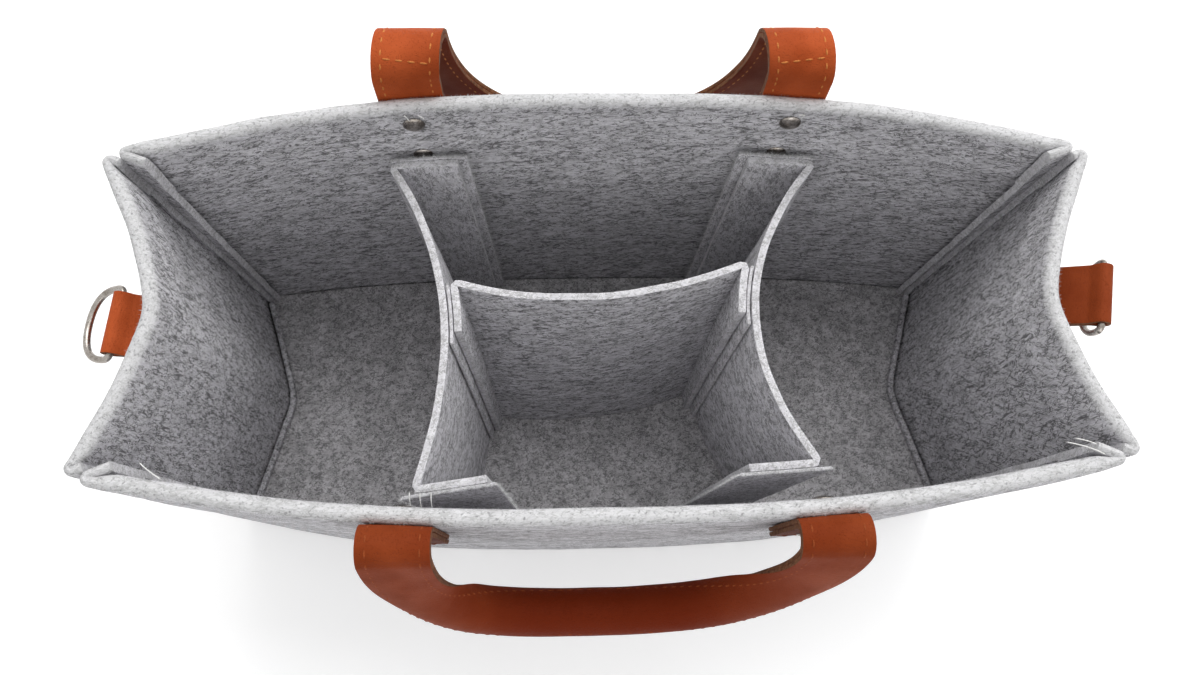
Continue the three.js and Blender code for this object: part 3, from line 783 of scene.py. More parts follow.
@dataclass
class Tub:
    """Felt tub: four bowed walls with turned hems, sewn to each other and to a base.

    Pairs of sizes are at the base and at the rim. Pairs of waves are free of the corners and pressed
    at them.
    """

    finishes: Finishes
    length: tuple[float, float] = (381, 388)
    end_width: tuple[float, float] = (126, 125.5)
    height: float = 180
    back_bow: tuple[float, float] = (10, 26.3)
    front_bow: tuple[float, float] = (21, 20.5)
    bow_fullness: float = 2.7
    end_fold: tuple[float, float] = (18, 19)
    crease: tuple[float, float] = (4, 7)
    felt: float = 3.0
    hem: float = 29.5
    hem_fold: float = 1.65
    hem_squeeze: float = 0.85
    long_allowance: tuple[float, float] = (3.6, 8.5)
    end_allowance: tuple[float, float] = (3.0, 3.0)
    corner_fold: float = 3.1
    corner_press: float = 9
    pressed_share: float = 0.3
    mitre_share: float = 0.1
    seam_pinch: float = 0.6
    seam_lean: float = 0.16
    end_bulge: float = 3.0
    long_bulge: float = 1.4
    bulge_reach: float = 0.55
    base_fit: float = 0.35
    rim_band: float = 16
    rim_calm: float = 0.55
    still_foot: float = 40
    swell: Wave = Wave(46, 0.9)
    dimples: tuple[Wave, Wave] = (Wave(13, 0.28), Wave(13, 0.55))
    rim_wander: tuple[Wave, Wave] = (Wave(21, 0.35), Wave(12, 0.9))
    hem_wander: Wave = Wave(17, 0.9)

    def half_length(self, z: float) -> float:
        """Half the outer length at a height."""
        return mix(*self.length, z / self.height) / 2

    def half_end(self, z: float) -> float:
        """Half the outer width of an end at a height."""
        return mix(*self.end_width, z / self.height) / 2

    def long_y(self, sign: int, x: float, z: float) -> float:
        """Outer face of a long wall.

        Args:
            sign: 1 for the back wall, -1 for the front one.
            x: Place along it.
            z: Height.

        Returns:
            Its Y.
        """
        bow = mix(*(self.back_bow if sign > 0 else self.front_bow), z / self.height)
        out = abs(x / self.half_length(z)) ** self.bow_fullness
        return sign * (self.half_end(z) + bow * (1 - out))

    def end_x(self, sign: int, y: float, z: float) -> float:
        """Outer face of an end wall.

        Args:
            sign: 1 for the right wall, -1 for the left one.
            y: Place along it.
            z: Height.

        Returns:
            Its X.
        """
        rounding = mix(*self.crease, z / self.height)
        fold = mix(*self.end_fold, z / self.height)
        run = math.hypot(y, rounding) - rounding
        whole = math.hypot(self.half_end(z), rounding) - rounding
        return sign * (self.half_length(z) - fold * (1 - run / whole))

    def outer(self, wall: Wall, u: float, z: float) -> Vector:
        """Point on the outer face of a wall.

        Args:
            wall: The wall.
            u: Share from -1 to 1 along X or Y.
            z: Height.

        Returns:
            The point.
        """
        if wall.is_long:
            x = u * self.half_length(z)
            return Vector((x, self.long_y(wall.sign, x, z), z))
        y = u * self.half_end(z)
        return Vector((self.end_x(wall.sign, y, z), y, z))

    def along(self, wall: Wall, u: float, z: float) -> Vector:
        """Level unit vector along a wall, the way u grows.

        Args:
            wall: The wall.
            u: Share from -1 to 1 along it.
            z: Height.

        Returns:
            The vector.
        """
        step = 0.01
        ahead, behind = self.outer(wall, min(u + step, 1), z), self.outer(wall, max(u - step, -1), z)
        return (ahead - behind).normalized()

    def inward(self, wall: Wall, u: float, z: float) -> Vector:
        """Level unit vector into the tub, square to a wall.

        Args:
            wall: The wall.
            u: Share from -1 to 1 along it.
            z: Height.

        Returns:
            The vector.
        """
        run = self.along(wall, u, z)
        side = Vector((-run.y, run.x, 0))
        return -side if side.dot(self.outer(wall, u, z)) > 0 else side

    def seam(self, wall: Wall, end: int, z: float) -> Vector:
        """Level unit vector of a corner seam, into the tub.

        Args:
            wall: The wall.
            end: 1 or -1, the end of the wall.
            z: Height.

        Returns:
            The vector.
        """
        if wall.is_long:
            long, short = wall, Wall.RIGHT if end > 0 else Wall.LEFT
        else:
            long, short = Wall.BACK if end > 0 else Wall.FRONT, wall
        middle = (self.inward(long, short.sign, z) + self.inward(short, long.sign, z)).normalized()
        return (middle - self.along(long, short.sign, z) * short.sign * self.seam_lean).normalized()

    def inset(self, wall: Wall, u: float, n: float, z: float) -> Vector:
        """Point under the outer face of a wall, mitred towards its ends.

        Args:
            wall: The wall.
            u: Share from -1 to 1 along it.
            n: Depth under its face.
            z: Height.

        Returns:
            The point.
        """
        way = self.inward(wall, u, z)
        near = smooth((abs(u) - 1 + self.mitre_share) / self.mitre_share)
        if near > 0:
            end = 1 if u > 0 else -1
            seam = self.seam(wall, end, z)
            way = way.lerp(seam / max(seam.dot(self.inward(wall, end, z)), 0.3), near)
        return self.outer(wall, u, z) + way * n

    def sheet_line(self, wall: Wall, z: float, columns: int) -> list[SheetSpot]:
        """A wall's outer face in plan: seam allowance, fold, wall, fold, seam allowance.

        Args:
            wall: The wall.
            z: Height.
            columns: Cells between its corner folds.

        Returns:
            Spots along the sheet.
        """
        half = self.half_length(z) if wall.is_long else self.half_end(z)
        bulge = (self.long_bulge if wall.is_long else self.end_bulge) * smooth(z / self.height)
        first_u, last_u = (end * (1 - self.corner_cut(wall, end, z, bulge) / half) for end in (-1, 1))
        found = []
        for i in range(columns + 1):
            u = mix(first_u, last_u, i / columns)
            near = half * min(u - first_u, last_u - u)
            inside = self.inward(wall, u, z)
            stands = bulge * smooth(1 - near / (self.bulge_reach * self.half_end(z)))
            at = self.outer(wall, u, z) - inside * stands
            found.append(SheetSpot(at, inside, smooth(1 - near / self.corner_press)))
        first = self.turned_end(wall, -1, z, found[0], found[0].at - found[1].at)
        last = self.turned_end(wall, 1, z, found[-1], found[-1].at - found[-2].at)
        return first[::-1] + found + last

    def corner_cut(self, wall: Wall, end: int, z: float, bulge: float) -> float:
        """Distance from a corner at which a wall's sheet turns in, so that its allowance lies on the seam.

        Args:
            wall: The wall.
            end: 1 or -1, the end of the wall.
            z: Height.
            bulge: How far the wall stands out there.

        Returns:
            The distance along the wall.
        """
        angle = self.seam(wall, end, z).angle(self.along(wall, end, z) * -end)
        return self.corner_fold / math.tan(angle / 2) - bulge / math.tan(angle) - self.seam_pinch

    def turned_end(self, wall: Wall, end: int, z: float, start: SheetSpot, run: Vector) -> list[SheetSpot]:
        """Edge of a wall's sheet turned in at a corner: a fold and the seam allowance after it.

        Args:
            wall: The wall.
            end: 1 or -1, the end of the wall.
            z: Height.
            start: Spot where the fold begins.
            run: Way along the wall towards the corner.

        Returns:
            Spots from the fold to the raw edge.
        """
        run = Vector((run.x, run.y, 0)).normalized()
        inside = start.inside
        seam = self.seam(wall, end, z)
        turn = math.atan2(seam.dot(inside), seam.dot(run))
        radius = self.corner_fold
        found = []
        fold_steps, edge_steps = 8, 5
        for i in range(1, fold_steps + 1):
            c, s = math.cos(turn * i / fold_steps), math.sin(turn * i / fold_steps)
            at = start.at + run * radius * s + inside * radius * (1 - c)
            found.append(SheetSpot(at, inside * c - run * s, 1.0))
        fold = found[-1]
        allowance = mix(*(self.long_allowance if wall.is_long else self.end_allowance), z / self.height)
        for i in range(1, edge_steps + 1):
            found.append(SheetSpot(fold.at + seam * allowance * i / edge_steps, fold.inside, 1.0))
        return found

    def hem_section(self, rows: int) -> list[tuple[float, float]]:
        """Middle line of the felt through a wall: up the outside, over the rim, down the hem.

        Args:
            rows: Number of cells along it.

        Returns:
            Depth and height of each point, from the foot to the hem's raw edge.
        """
        radius = self.hem_fold
        half = self.felt / 2
        turn = self.height - half - radius
        outside = [Vector((half, 0.2, 0)), Vector((half, turn, 0))]
        over = [outside[1]]
        steps = 12
        for i in range(1, steps + 1):
            angle = math.pi * (1 - i / steps)
            depth = half + radius + radius * math.cos(angle)
            over.append(Vector((depth, turn + radius * math.sin(angle), 0)))
        over.append(Vector((self.felt + half * self.hem_squeeze, self.height - self.hem, 0)))
        line = resample(outside, rows - rows // 2 + 1)[:-1] + resample(over, rows // 2 + 1)
        return [(p.x, p.y) for p in line]

    def wall(self, wall: Wall, columns: int, cut: tuple[float, float], seed: float) -> None:
        """One felt wall with its turned hem and seam allowances.

        Args:
            wall: The wall.
            columns: Cells between its corner folds.
            cut: Flat size of its felt in metres; not used.
            seed: Seed of its own waviness.
        """
        rows = 72
        section = self.hem_section(rows)
        lines = [self.sheet_line(wall, z, columns) for _, z in section]
        last = len(lines[0]) - 1

        def spot(i: int, row: int) -> Vector:
            n, z = section[row]
            here = lines[row][i]
            half = self.felt / 2
            point = here.at + here.inside * mix(n, half + (n - half) * self.pressed_share, here.press)
            rim = smooth((z - self.height + self.rim_band) / self.rim_band)
            free = smooth(z / self.still_foot) * (1 - self.rim_calm * rim) * (1 - here.press)
            wave = self.swell.at(point, seed) * free
            wave += Wave.toward(*self.dimples, here.press).at(point, seed + 5)
            point += here.inside * wave
            point.z += rim * Wave.toward(*self.rim_wander, here.press).at(point, seed + 9)
            if n > self.felt:
                point.z += clamp((self.height - z) / self.hem) * self.hem_wander.at(point, seed + 3)
            return point

        felt = self.finishes.felt_long if wall.is_long else self.finishes.felt_end
        bm = grid(last, rows, lambda across, up: spot(round(across * last), round(up * rows)))
        piece = new_piece(f"{wall.value}_felt_wall", bm, felt, self.finishes.raw_edge)
        thicken(piece, self.felt, 0.9, 3)
        node = f"{wall.value}_panel" if wall.is_long else f"{wall.value}_end_panel"
        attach(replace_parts(piece, node), Body.SHELL.value)
        nap = self.nap(wall, lines, section, spot, int(seed))

    def nap(self, wall: Wall, lines: list[list[SheetSpot]], section: list[tuple[float, float]],
            spot: Callable[[int, int], Vector], seed: int) -> bpy.types.Object:
        """Fibres on a wall's rolled rim, its hem's raw edge and its seam allowances.

        Args:
            wall: The wall.
            lines: Plan of the sheet at each row of the section.
            section: Depth and height of each row.
            spot: Point of the sheet at a column and row.
            seed: Seed of their scatter.

        Returns:
            The piece.
        """
        half = self.felt / 2
        last = len(lines[0]) - 1
        rows = len(section) - 1
        edges = []
        for row in range(rows // 2 - 2, rows // 2 + 12, 3):
            (n0, z0), (n1, z1) = section[row - 1], section[row + 1]
            out = Vector((z0 - z1, n1 - n0)).normalized()
            edge = []
            for i in range(0, last + 1, 2):
                look = lines[row][i].inside * out.x + UP * out.y
                edge.append((spot(i, row) + look * half, look))
            edges.append(edge)
        hem = lines[rows]
        edges.append([(spot(i, rows) + hem[i].inside * half, hem[i].inside) for i in range(8, last - 7, 2)])
        for i in (0, last):
            edge = []
            for row in range(4, rows // 2 + 4, 2):
                here = lines[row][i]
                way = self.seam(wall, 1 if i else -1, section[row][1])
                edge.append((spot(i, row) + here.inside * half * 0.4, way))
            edges.append(edge)
        return Nap(self.finishes, Body.SHELL).grow(f"{wall.value}_felt_wall_nap", edges, seed)

    def base(self) -> None:
        """Base felt inside the walls."""
        depth = self.felt + self.base_fit
        end_reach = 0.93
        rise = Wave(30, 0.25)

        def place(across: float, up: float) -> Vector:
            v = (2 * up - 1) * end_reach
            left, right = (self.inset(wall, v, depth, 0.0).x for wall in (Wall.LEFT, Wall.RIGHT))
            x = mix(left, right, across)
            u = clamp(x / self.half_length(0), -1, 1)
            front, back = (self.inset(wall, u, depth, 0.0).y for wall in (Wall.FRONT, Wall.BACK))
            point = Vector((x, mix(front, back, up), self.felt / 2))
            point.z += max(0.0, rise.at(point, 4.0))
            return point

        piece = new_piece("base_felt", grid(90, 40, place), self.finishes.felt_base, self.finishes.raw_edge)
        thicken(piece, self.felt * 0.98, 0.7)
        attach(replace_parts(piece, "base_panel"), Body.SHELL.value)

    def base_seam(self, wall: Wall, seed: float) -> None:
        """Raw seam edge standing up along the base at one end.

        Args:
            wall: The end wall.
            seed: Seed of its own waviness.
        """
        reach, foot, height, lean = 0.86, 2.6, 5.4, 0.5
        depth = self.felt * 1.62 + self.base_fit
        rough, sway = Wave(15, 0.6), Wave(24, 0.4)

        def place(across: float, up: float) -> Vector:
            u = (2 * across - 1) * reach
            point = self.inset(wall, u, depth + lean * up, 0.0)
            point.z = foot + up * (height + rough.at(point, seed))
            return point + self.inward(wall, u, 0.0) * sway.at(point, seed + 1)

        piece = new_piece(f"{wall.value}_base_seam_edge", grid(60, 3, place), self.finishes.felt_end)
        thicken(piece, self.felt * 0.95, 0.8)
        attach(piece, Body.SHELL.value)

    def build(self) -> None:
        """Make every felt piece of the tub."""
        self.base()
        self.wall(Wall.BACK, 120, (0.400, 0.2095), 1.0)
        self.wall(Wall.FRONT, 120, (0.400, 0.2095), 2.0)
        self.wall(Wall.LEFT, 60, (0.140, 0.2095), 3.0)
        self.wall(Wall.RIGHT, 60, (0.140, 0.2095), 4.0)
        self.base_seam(Wall.LEFT, 31.0)
        self.base_seam(Wall.RIGHT, 32.0)


@dataclass(frozen=True)
class DividerLine:
    """Plan of one divider.

    Attributes:
        name: left or right.
        sign: 1 on the right, -1 on the left.
        back: Distance of its back fold from the caddy's middle.
        waist: Distance of its waist from the middle.
        front: Distance of its front fold from the middle.
        back_clearance: Space behind its back flange.
        front_clearance: Space behind its front flange.
        front_turn: How far its front flange's tip stands off at the top.
        partition: Y where the partition's fold meets it, at the foot and at the top.
    """

    name: str
    sign: int
    back: float
    waist: float
    front: float
    back_clearance: float
    front_clearance: float
    front_turn: float
    partition: tuple[float, float]


@dataclass
class Insert:
    """Lift-out felt insert: two flanged dividers and the partition between them.

    Pairs of sizes are at the foot and at the top, apart from the tapes' at the back and at the front.
    """

    finishes: Finishes
    tub: Tub
    height: float = 141.5
    felt: float = 3.1
    gap: float = 0.3
    flange: float = 28
    fold: float = 2
    fold_share: float = 0.3
    splay: float = 7
    waist_y: float = 8
    partition_bow: tuple[float, float] = (6.5, 10)
    partition_flange: tuple[float, float] = (9, 20)
    fit: float = 0.7
    strip: float = 1.5
    strip_margin: float = 5
    tape: float = 1.6
    tape_past_tip: float = 4
    tape_past_fold: tuple[float, float] = (1, 5.5)
    left: DividerLine = DividerLine("left", -1, back=90.5, waist=67.5, front=77, back_clearance=3.4,
                                    front_clearance=9.5, front_turn=5, partition=(-9.5, 18.5))
    right: DividerLine = DividerLine("right", 1, back=92.5, waist=63, front=84, back_clearance=3.2,
                                     front_clearance=16.5, front_turn=0, partition=(1, 25))

    @property
    def foot(self) -> float:
        """Height of the insert's lower edge."""
        return self.tub.felt + self.gap

    def share(self, z: float) -> float:
        """Share of the insert's height at z."""
        return (z - self.foot) / self.height

    def flange_line(self, line: DividerLine, sign: int, z: float) -> tuple[Vector, Vector]:
        """Flange of a divider along a long wall.

        Args:
            line: The divider.
            sign: 1 at the back wall, -1 at the front one.
            z: Height.

        Returns:
            Its fold and its tip.
        """
        clearance = line.back_clearance if sign > 0 else line.front_clearance
        inset = self.tub.felt * 1.5 + self.tape + self.gap + clearance
        out = (line.back if sign > 0 else line.front) - self.splay * (1 - self.share(z))

        def at(x: float) -> Vector:
            return Vector((line.sign * x, self.tub.long_y(sign, line.sign * x, z) - sign * inset, z))

        tip = at(out - self.flange)
        tip.y += line.front_turn * self.share(z) if sign < 0 else 0.0
        return at(out), tip

    def folded(self, corners: Sequence[Vector], bent: int, via: Vector) -> list[Vector]:
        """Plan path through corners with small folds and one bowed stretch.

        Args:
            corners: Corner points.
            bent: Index of the corner before the bowed stretch.
            via: Middle of the bowed stretch.

        Returns:
            Points along the path.
        """
        points = [corners[0]]

        def toward(start: Vector, goal: Vector) -> Vector:
            gap = goal - start
            return start + gap.normalized() * min(self.fold, gap.length * self.fold_share)

        for i in range(1, len(corners) - 1):
            enter = toward(corners[i], via if i - 1 == bent else corners[i - 1])
            leave = toward(corners[i], via if i == bent else corners[i + 1])
            if i - 1 == bent:
                points += curve(points[-1], via * 2 - (points[-1] + enter) / 2, enter, 40)
            else:
                points.append(enter)
            points += curve(points[-1], corners[i], leave, 8)
        points.append(corners[-1])
        return points

    def divider_path(self, line: DividerLine, z: float) -> list[Vector]:
        """Centre line of a divider.

        Args:
            line: The divider.
            z: Height.

        Returns:
            Points from its back flange's tip to its front flange's tip.
        """
        back_fold, back_tip = self.flange_line(line, 1, z)
        front_fold, front_tip = self.flange_line(line, -1, z)
        waist = Vector((line.sign * (line.waist - self.splay * (1 - self.share(z))), self.waist_y, z))
        return self.folded([back_tip, back_fold, front_fold, front_tip], 1, waist)

    def beside(self, line: DividerLine, z: float, offset: float, margin: float) -> list[Vector]:
        """Points beside a divider where the partition's flange or its strip lies.

        Args:
            line: The divider.
            z: Height.
            offset: Distance from the divider's centre line.
            margin: How far it runs past the flange.

        Returns:
            Points from the partition's fold to the front edge.
        """
        path = self.divider_path(line, z)
        width = mix(*self.partition_flange, self.share(z)) + margin
        found = []
        for part in (0.0, 0.25, 0.5, 0.75, 1.0):
            level = mix(*line.partition, self.share(z)) - part * width
            i = next(k for k in range(1, len(path)) if path[k - 1].y >= level > path[k].y)
            a, b = path[i - 1], path[i]
            run = (b - a).normalized()
            side = Vector((-line.sign, 0, 0))
            side = (side - run * side.dot(run)).normalized()
            found.append(a.lerp(b, (a.y - level) / (a.y - b.y)) + side * offset)
        return found

    def partition_path(self, z: float) -> list[Vector]:
        """Centre line of the partition.

        Args:
            z: Height.

        Returns:
            Points from its left flange's edge to its right one's.
        """
        offset = self.tub.felt + self.strip + 2 * self.fit
        left = self.beside(self.left, z, offset, 0)
        right = self.beside(self.right, z, offset, 0)
        middle = (left[0] + right[0]) / 2
        middle.y -= mix(*self.partition_bow, self.share(z))
        return self.folded([*reversed(left), *right], len(left) - 1, middle)

    def tape_path(self, line: DividerLine, sign: int, z: float) -> list[Vector]:
        """Centre line of the hook tape behind a flange.

        Args:
            line: The divider.
            sign: 1 at the back wall, -1 at the front one.
            z: Height.

        Returns:
            Its two ends.
        """
        fold, tip = self.flange_line(line, sign, z)
        run = (fold - tip).normalized()
        offset = Vector((0, sign * ((self.tub.felt + self.tape) / 2 + self.gap), 0))
        past_fold = self.tape_past_fold[0 if sign > 0 else 1]
        return [tip - run * self.tape_past_tip + offset, fold + run * past_fold + offset]

    def standing_sheet(self, name: str, node: str, plan: Plan, columns: int, thickness: float,
                       seed: float) -> None:
        """Felt sheet standing on edge over a plan path.

        Args:
            name: Name of the piece.
            node: CAD node that it stands for.
            plan: Path at each height.
            columns: Cells along the path.
            thickness: Felt thickness.
            seed: Seed of its own waviness.
        """
        rows = 36
        paths = [resample(plan(self.foot + self.height * i / rows), columns + 1) for i in range(rows + 1)]
        sway, rough_top = Wave(24, 0.18 * thickness - 0.1), Wave(9, 0.5)

        def spot(i: int, row: int) -> Vector:
            path = paths[row]
            point = path[i].copy()
            run = (path[min(i + 1, columns)] - path[max(i - 1, 0)]).normalized()
            point += Vector((-run.y, run.x, 0)) * sway.at(point, seed)
            point.z += smooth((row / rows - 0.9) / 0.1) * rough_top.at(point, seed + 4)
            return point

        bm = grid(columns, rows, lambda across, up: spot(round(across * columns), round(up * rows)))
        felt = self.finishes.felt_long if node == "cross_partition" else self.finishes.felt_across
        piece = new_piece(name, bm, felt, self.finishes.raw_edge)
        thicken(piece, thickness, 0.3 * thickness)
        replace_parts(piece, node)
        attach(piece, Body.INSERT.value)
        top = [(spot(i, rows) + UP * thickness * 0.3, UP) for i in range(0, columns + 1, 2)]
        sides = []
        for i, inner in ((0, 2), (columns, columns - 2)):
            levels = range(0, rows + 1, 4)
            sides.append([(spot(i, row), (spot(i, row) - spot(inner, row)).normalized()) for row in levels])
        frayed = 2.0 if node.endswith("hook_tape") else 1.0
        nap = Nap(self.finishes, Body.INSERT, length=1.4 * frayed, per_mm=4.0 * frayed)
        fuzz = nap.grow(f"{name}_nap", [top, top, *sides], int(seed))

    def build(self) -> None:
        """Make the dividers, the partition, its strips and the hook tapes."""
        for line, seed in ((self.left, 41.0), (self.right, 51.0)):
            name = line.name
            self.standing_sheet(f"{name}_felt_divider", f"{name}_divider",
                                lambda z, own=line: self.divider_path(own, z), 110, self.felt,
                                seed)
            offset = (self.tub.felt + self.strip) / 2 + self.fit
            self.standing_sheet(f"{name}_felt_seam_strip", f"{name}_seam_strip",
                                lambda z, own=line: self.beside(own, z, offset, self.strip_margin), 14,
                                self.strip, seed + 3)
            for end, sign in (("back", 1), ("front", -1)):
                self.standing_sheet(f"{name}_{end}_tape_strip", f"{name}_{end}_hook_tape",
                                    lambda z, own=line, at=sign: self.tape_path(own, at, z), 16, self.tape,
                                    seed + 5 + sign)
        self.standing_sheet("felt_partition", "cross_partition", self.partition_path, 110, self.felt,
                            47.0)


FLAT_ARCH = 1e-4
# Lift of an arched strap's crown over its middle line, for one radian of arch per millimetre.
ARCH_LIFT = 40.0


@dataclass(frozen=True)
class HandleLine:
    """Shape of one handle, with angles in degrees.

    Attributes:
        wall: Wall that it is riveted to.
        body: Body of its swinging loop; not used.
        rise: Height of its curl's centre over the rim.
        curl: Radius of its curl.
        lean: How far the curl draws in towards the middle.
        hang: Angle that the curl turns on past level.
        drop: How far the loop hangs below the curl's end.
        standoff: Distance of the grip from the wall's rim.
        belly: How early the loop swings out to the grip.
        tilt: Angle by which the grip's face looks up.
        squareness: Fullness of its left and right corners.
        arch: Angle by which each half of the grip rolls over.
    """

    wall: Wall
    body: Body
    rise: float
    curl: float
    lean: float
    hang: float
    drop: float
    standoff: float
    belly: float
    tilt: float
    squareness: tuple[float, float]
    arch: float


@dataclass
class Station:
    """Point on a strap's middle line with the way its upper face looks."""

    at: Vector
    look: Vector


@dataclass
class Section:
    """Cross-section of a strap.

    Attributes:
        at: Its middle.
        run: Way along the strap.
        side: Way across it.
        normal: Way out of its face.
        arch: How it arches, in radians per millimetre of width.
    """

    at: Vector
    run: Vector
    side: Vector
    normal: Vector
    arch: float

    def out(self, w: float) -> Vector:
        """Way out of the face at w across the strap."""
        return self.normal * math.cos(w * self.arch) + self.side * math.sin(w * self.arch)

    def spot(self, w: float, height: float) -> Vector:
        """Point of the section.

        Args:
            w: Place across the strap.
            height: Height over its middle line.

        Returns:
            The point.
        """
        if self.arch <= FLAT_ARCH:
            return self.at + self.side * w + self.normal * height
        radius = 1 / self.arch
        middle = self.at - self.normal * (radius - ARCH_LIFT * self.arch)
        return middle + self.out(w) * (radius + height)


@dataclass
class Handle:
    """Stitched two-layer leather strap riveted to a long wall."""

    finishes: Finishes
    tub: Tub
    line: HandleLine
    leather_finish: bpy.types.Material
    thread: bpy.types.Material
    width: float = 26
    leather: float = 1.7
    layer_gap: float = 0.2
    spacing: float = 156
    off_wall: float = 0.3
    end_length: float = 52
    arch_run: float = 85
    stitch_inset: float = 3.6
    stitch_pitch: float = 4.3
    stitch_length: float = 3.1
    rivets: tuple[float, float] = (11, 39)
    rivet_post: float = 1.5
    grain: Wave = Wave(12, 0.12)
    stations: list[Station] = field(default_factory=list)
    reach: list[float] = field(default_factory=list)

    def __post_init__(self) -> None:
        """Work out the strap's middle line."""
        left, right = (self.half_line(squareness) for squareness in self.line.squareness)
        flip = Matrix.Scale(-1, 3, Vector((1, 0, 0)))
        whole = right + [Station(flip @ s.at, flip @ s.look) for s in reversed(left[:-1])]
        side = Matrix.Scale(self.line.wall.sign, 3, Vector((0, 1, 0)))
        self.stations = [Station(side @ s.at, side @ s.look) for s in whole]
        self.reach = [0.0]
        for a, b in zip(self.stations, self.stations[1:]):
            self.reach.append(self.reach[-1] + (b.at - a.at).length)

    def half_line(self, squareness: float) -> list[Station]:
        """Half of the middle line, seen as if it were the right half on the back wall.

        Args:
            squareness: Fullness of the loop's corner.

        Returns:
            Stations from the strap's end to the middle of the grip.
        """
        line, tub = self.line, self.tub
        x = self.spacing / 2
        centre = self.off_wall + self.leather + self.layer_gap / 2
        end_steps, loop_steps = 24, 60

        def out(z: float) -> float:
            return abs(tub.long_y(line.wall.sign, x, z)) + centre

        def facing(outward: float, up: float, turn: float) -> Vector:
            return Vector((math.sin(turn) * outward, math.cos(turn) * outward, up))

        run = tub.along(line.wall, x / tub.half_length(tub.height), tub.height)
        yaw = math.atan2(abs(run.y), 1)
        curl_z = tub.height + line.rise
        curl_y = out(curl_z) + line.curl
        found = []
        for i in range(end_steps + 1):
            z = mix(tub.height - self.end_length, curl_z, i / end_steps)
            found.append(Station(Vector((x, out(z), z)), facing(-1, 0, yaw)))
        for i in range(1, end_steps + 1):
            turn = math.radians(90 + line.hang) * i / end_steps
            c, s = math.cos(turn), math.sin(turn)
            at = Vector((x - line.lean * i / end_steps, curl_y - line.curl * c, curl_z + line.curl * s))
            found.append(Station(at, facing(-c, s, yaw * max(0.0, c))))
        start = found[-1].at.copy()
        wall_out = out(tub.height) - centre
        power = 2 / squareness
        for i in range(1, loop_steps + 1):
            angle = math.pi / 2 * i / loop_steps
            fall = math.sin(angle) ** power
            y = mix(start.y, wall_out + line.standoff, 1 - (1 - fall) ** line.belly)
            tilt = math.radians(mix(90 - line.hang, line.tilt, fall ** 2))
            at = Vector((start.x * max(math.cos(angle), 0.0) ** power, y, start.z - line.drop * fall))
            found.append(Station(at, facing(math.cos(tilt), math.sin(tilt), 0)))
        return found

    def station(self, distance: float) -> Station:
        """Point on the strap's middle line.

        Args:
            distance: Distance along the strap.

        Returns:
            The point and the way its face looks.
        """
        i = int(clamp(bisect_left(self.reach, distance), 1, len(self.reach) - 1))
        share = clamp((distance - self.reach[i - 1]) / max(self.reach[i] - self.reach[i - 1], 1e-9))
        a, b = self.stations[i - 1], self.stations[i]
        return Station(a.at.lerp(b.at, share), a.look.lerp(b.look, share))

    def section(self, distance: float) -> Section:
        """Cross-section of the strap.

        Args:
            distance: Distance along the strap.

        Returns:
            The section.
        """
        here = self.station(distance)
        step = 1.5
        run = (self.station(distance + step).at - self.station(distance - step).at).normalized()
        normal = (here.look - run * here.look.dot(run)).normalized()
        line = self.line
        curled = self.end_length + line.rise + line.curl * math.radians(90 + line.hang)
        past = min(distance, self.reach[-1] - distance) - curled
        arch = math.radians(line.arch) * smooth(past / self.arch_run) / (self.width / 2)
        return Section(here.at, run, run.cross(normal), normal, arch)

    def layer(self, label: str, height: float, material: bpy.types.Material) -> None:
        """One leather layer of the whole strap, bending at the curl.

        Args:
            label: face or lining.
            height: Middle of the layer over the strap's middle line.
            material: Its finish.
        """
        length = self.reach[-1]
        count = 190
        rows = [self.section(length * i / count) for i in range(count + 1)]
        seed = 61.0 + self.line.wall.sign
        round_in, round_from, round_over = 3.5, 6, 6.5
        dip_depth, dip_width, crown_height = 0.22, 0.9, 0.18

        def place(along: float, across: float) -> Vector:
            here = rows[round(along * count)]
            w = (2 * across - 1) * self.width / 2
            trim = round_in * smooth((abs(w) - round_from) / round_over)
            if min(along, 1 - along) * length < trim:
                here = self.section(trim if along < 0.5 else length - trim)
            row = abs(abs(w) - (self.width / 2 - self.stitch_inset))
            dip = dip_depth * math.exp(-(row / dip_width) ** 2)
            crown = crown_height * (1 - (w / (self.width / 2)) ** 2)
            point = here.spot(w, height + math.copysign(crown - dip, height))
            return point + here.out(w) * self.grain.at(point, seed)

        bm = grid(count, 28, place)
        piece = new_piece(f"{self.line.wall.value}_handle_{label}_leather", bm, material, self.finishes.edge)
        thicken(piece, self.leather, 0.45)
        settle(piece)
        nodes = [f"{self.line.wall.value}_handle_{label}"]
        nodes += [f"{self.line.wall.value}_{side}_strap_end_{label}" for side in ("left", "right")]
        self.bend(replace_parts(piece, *nodes))

    def bend(self, piece: bpy.types.Object) -> None:
        """Bake a piece's transform into its mesh.

        Args:
            piece: The piece.
        """
        sign = self.line.wall.sign
        face = abs(self.tub.long_y(sign, self.spacing / 2, self.tub.height + self.line.rise))
        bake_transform(piece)

    def stitches(self) -> None:
        """Two rows of stitches along the strap and one across near each end, on both faces."""
        sewn = []
        length = self.reach[-1]
        row = self.width / 2 - self.stitch_inset
        half = self.leather + self.layer_gap / 2
        sunk, proud, ends = 0.06, 0.20, 9
        count = int((length - ends) / self.stitch_pitch)
        margin = (length - count * self.stitch_pitch) / 2
        steps = int(2 * row / self.stitch_pitch)
        for sign in (1, -1):
            for i in range(count + 1):
                here = self.section(margin + i * self.stitch_pitch)
                for w in (row, -row):
                    sewn.append(Stitch(here.spot(w, sign * (half - sunk)), here.run, here.out(w) * sign))
            for distance in self.cross_rows():
                here = self.section(distance)
                for i in range(steps):
                    w = -row + (i + 0.5) * 2 * row / steps
                    sewn.append(Stitch(here.spot(w, sign * (half + proud)), here.side, here.normal * sign))
        bm = sew(sewn, self.stitch_length)
        piece = new_piece(f"{self.line.wall.value}_handle_stitches", bm, self.thread)
        self.bend(piece)

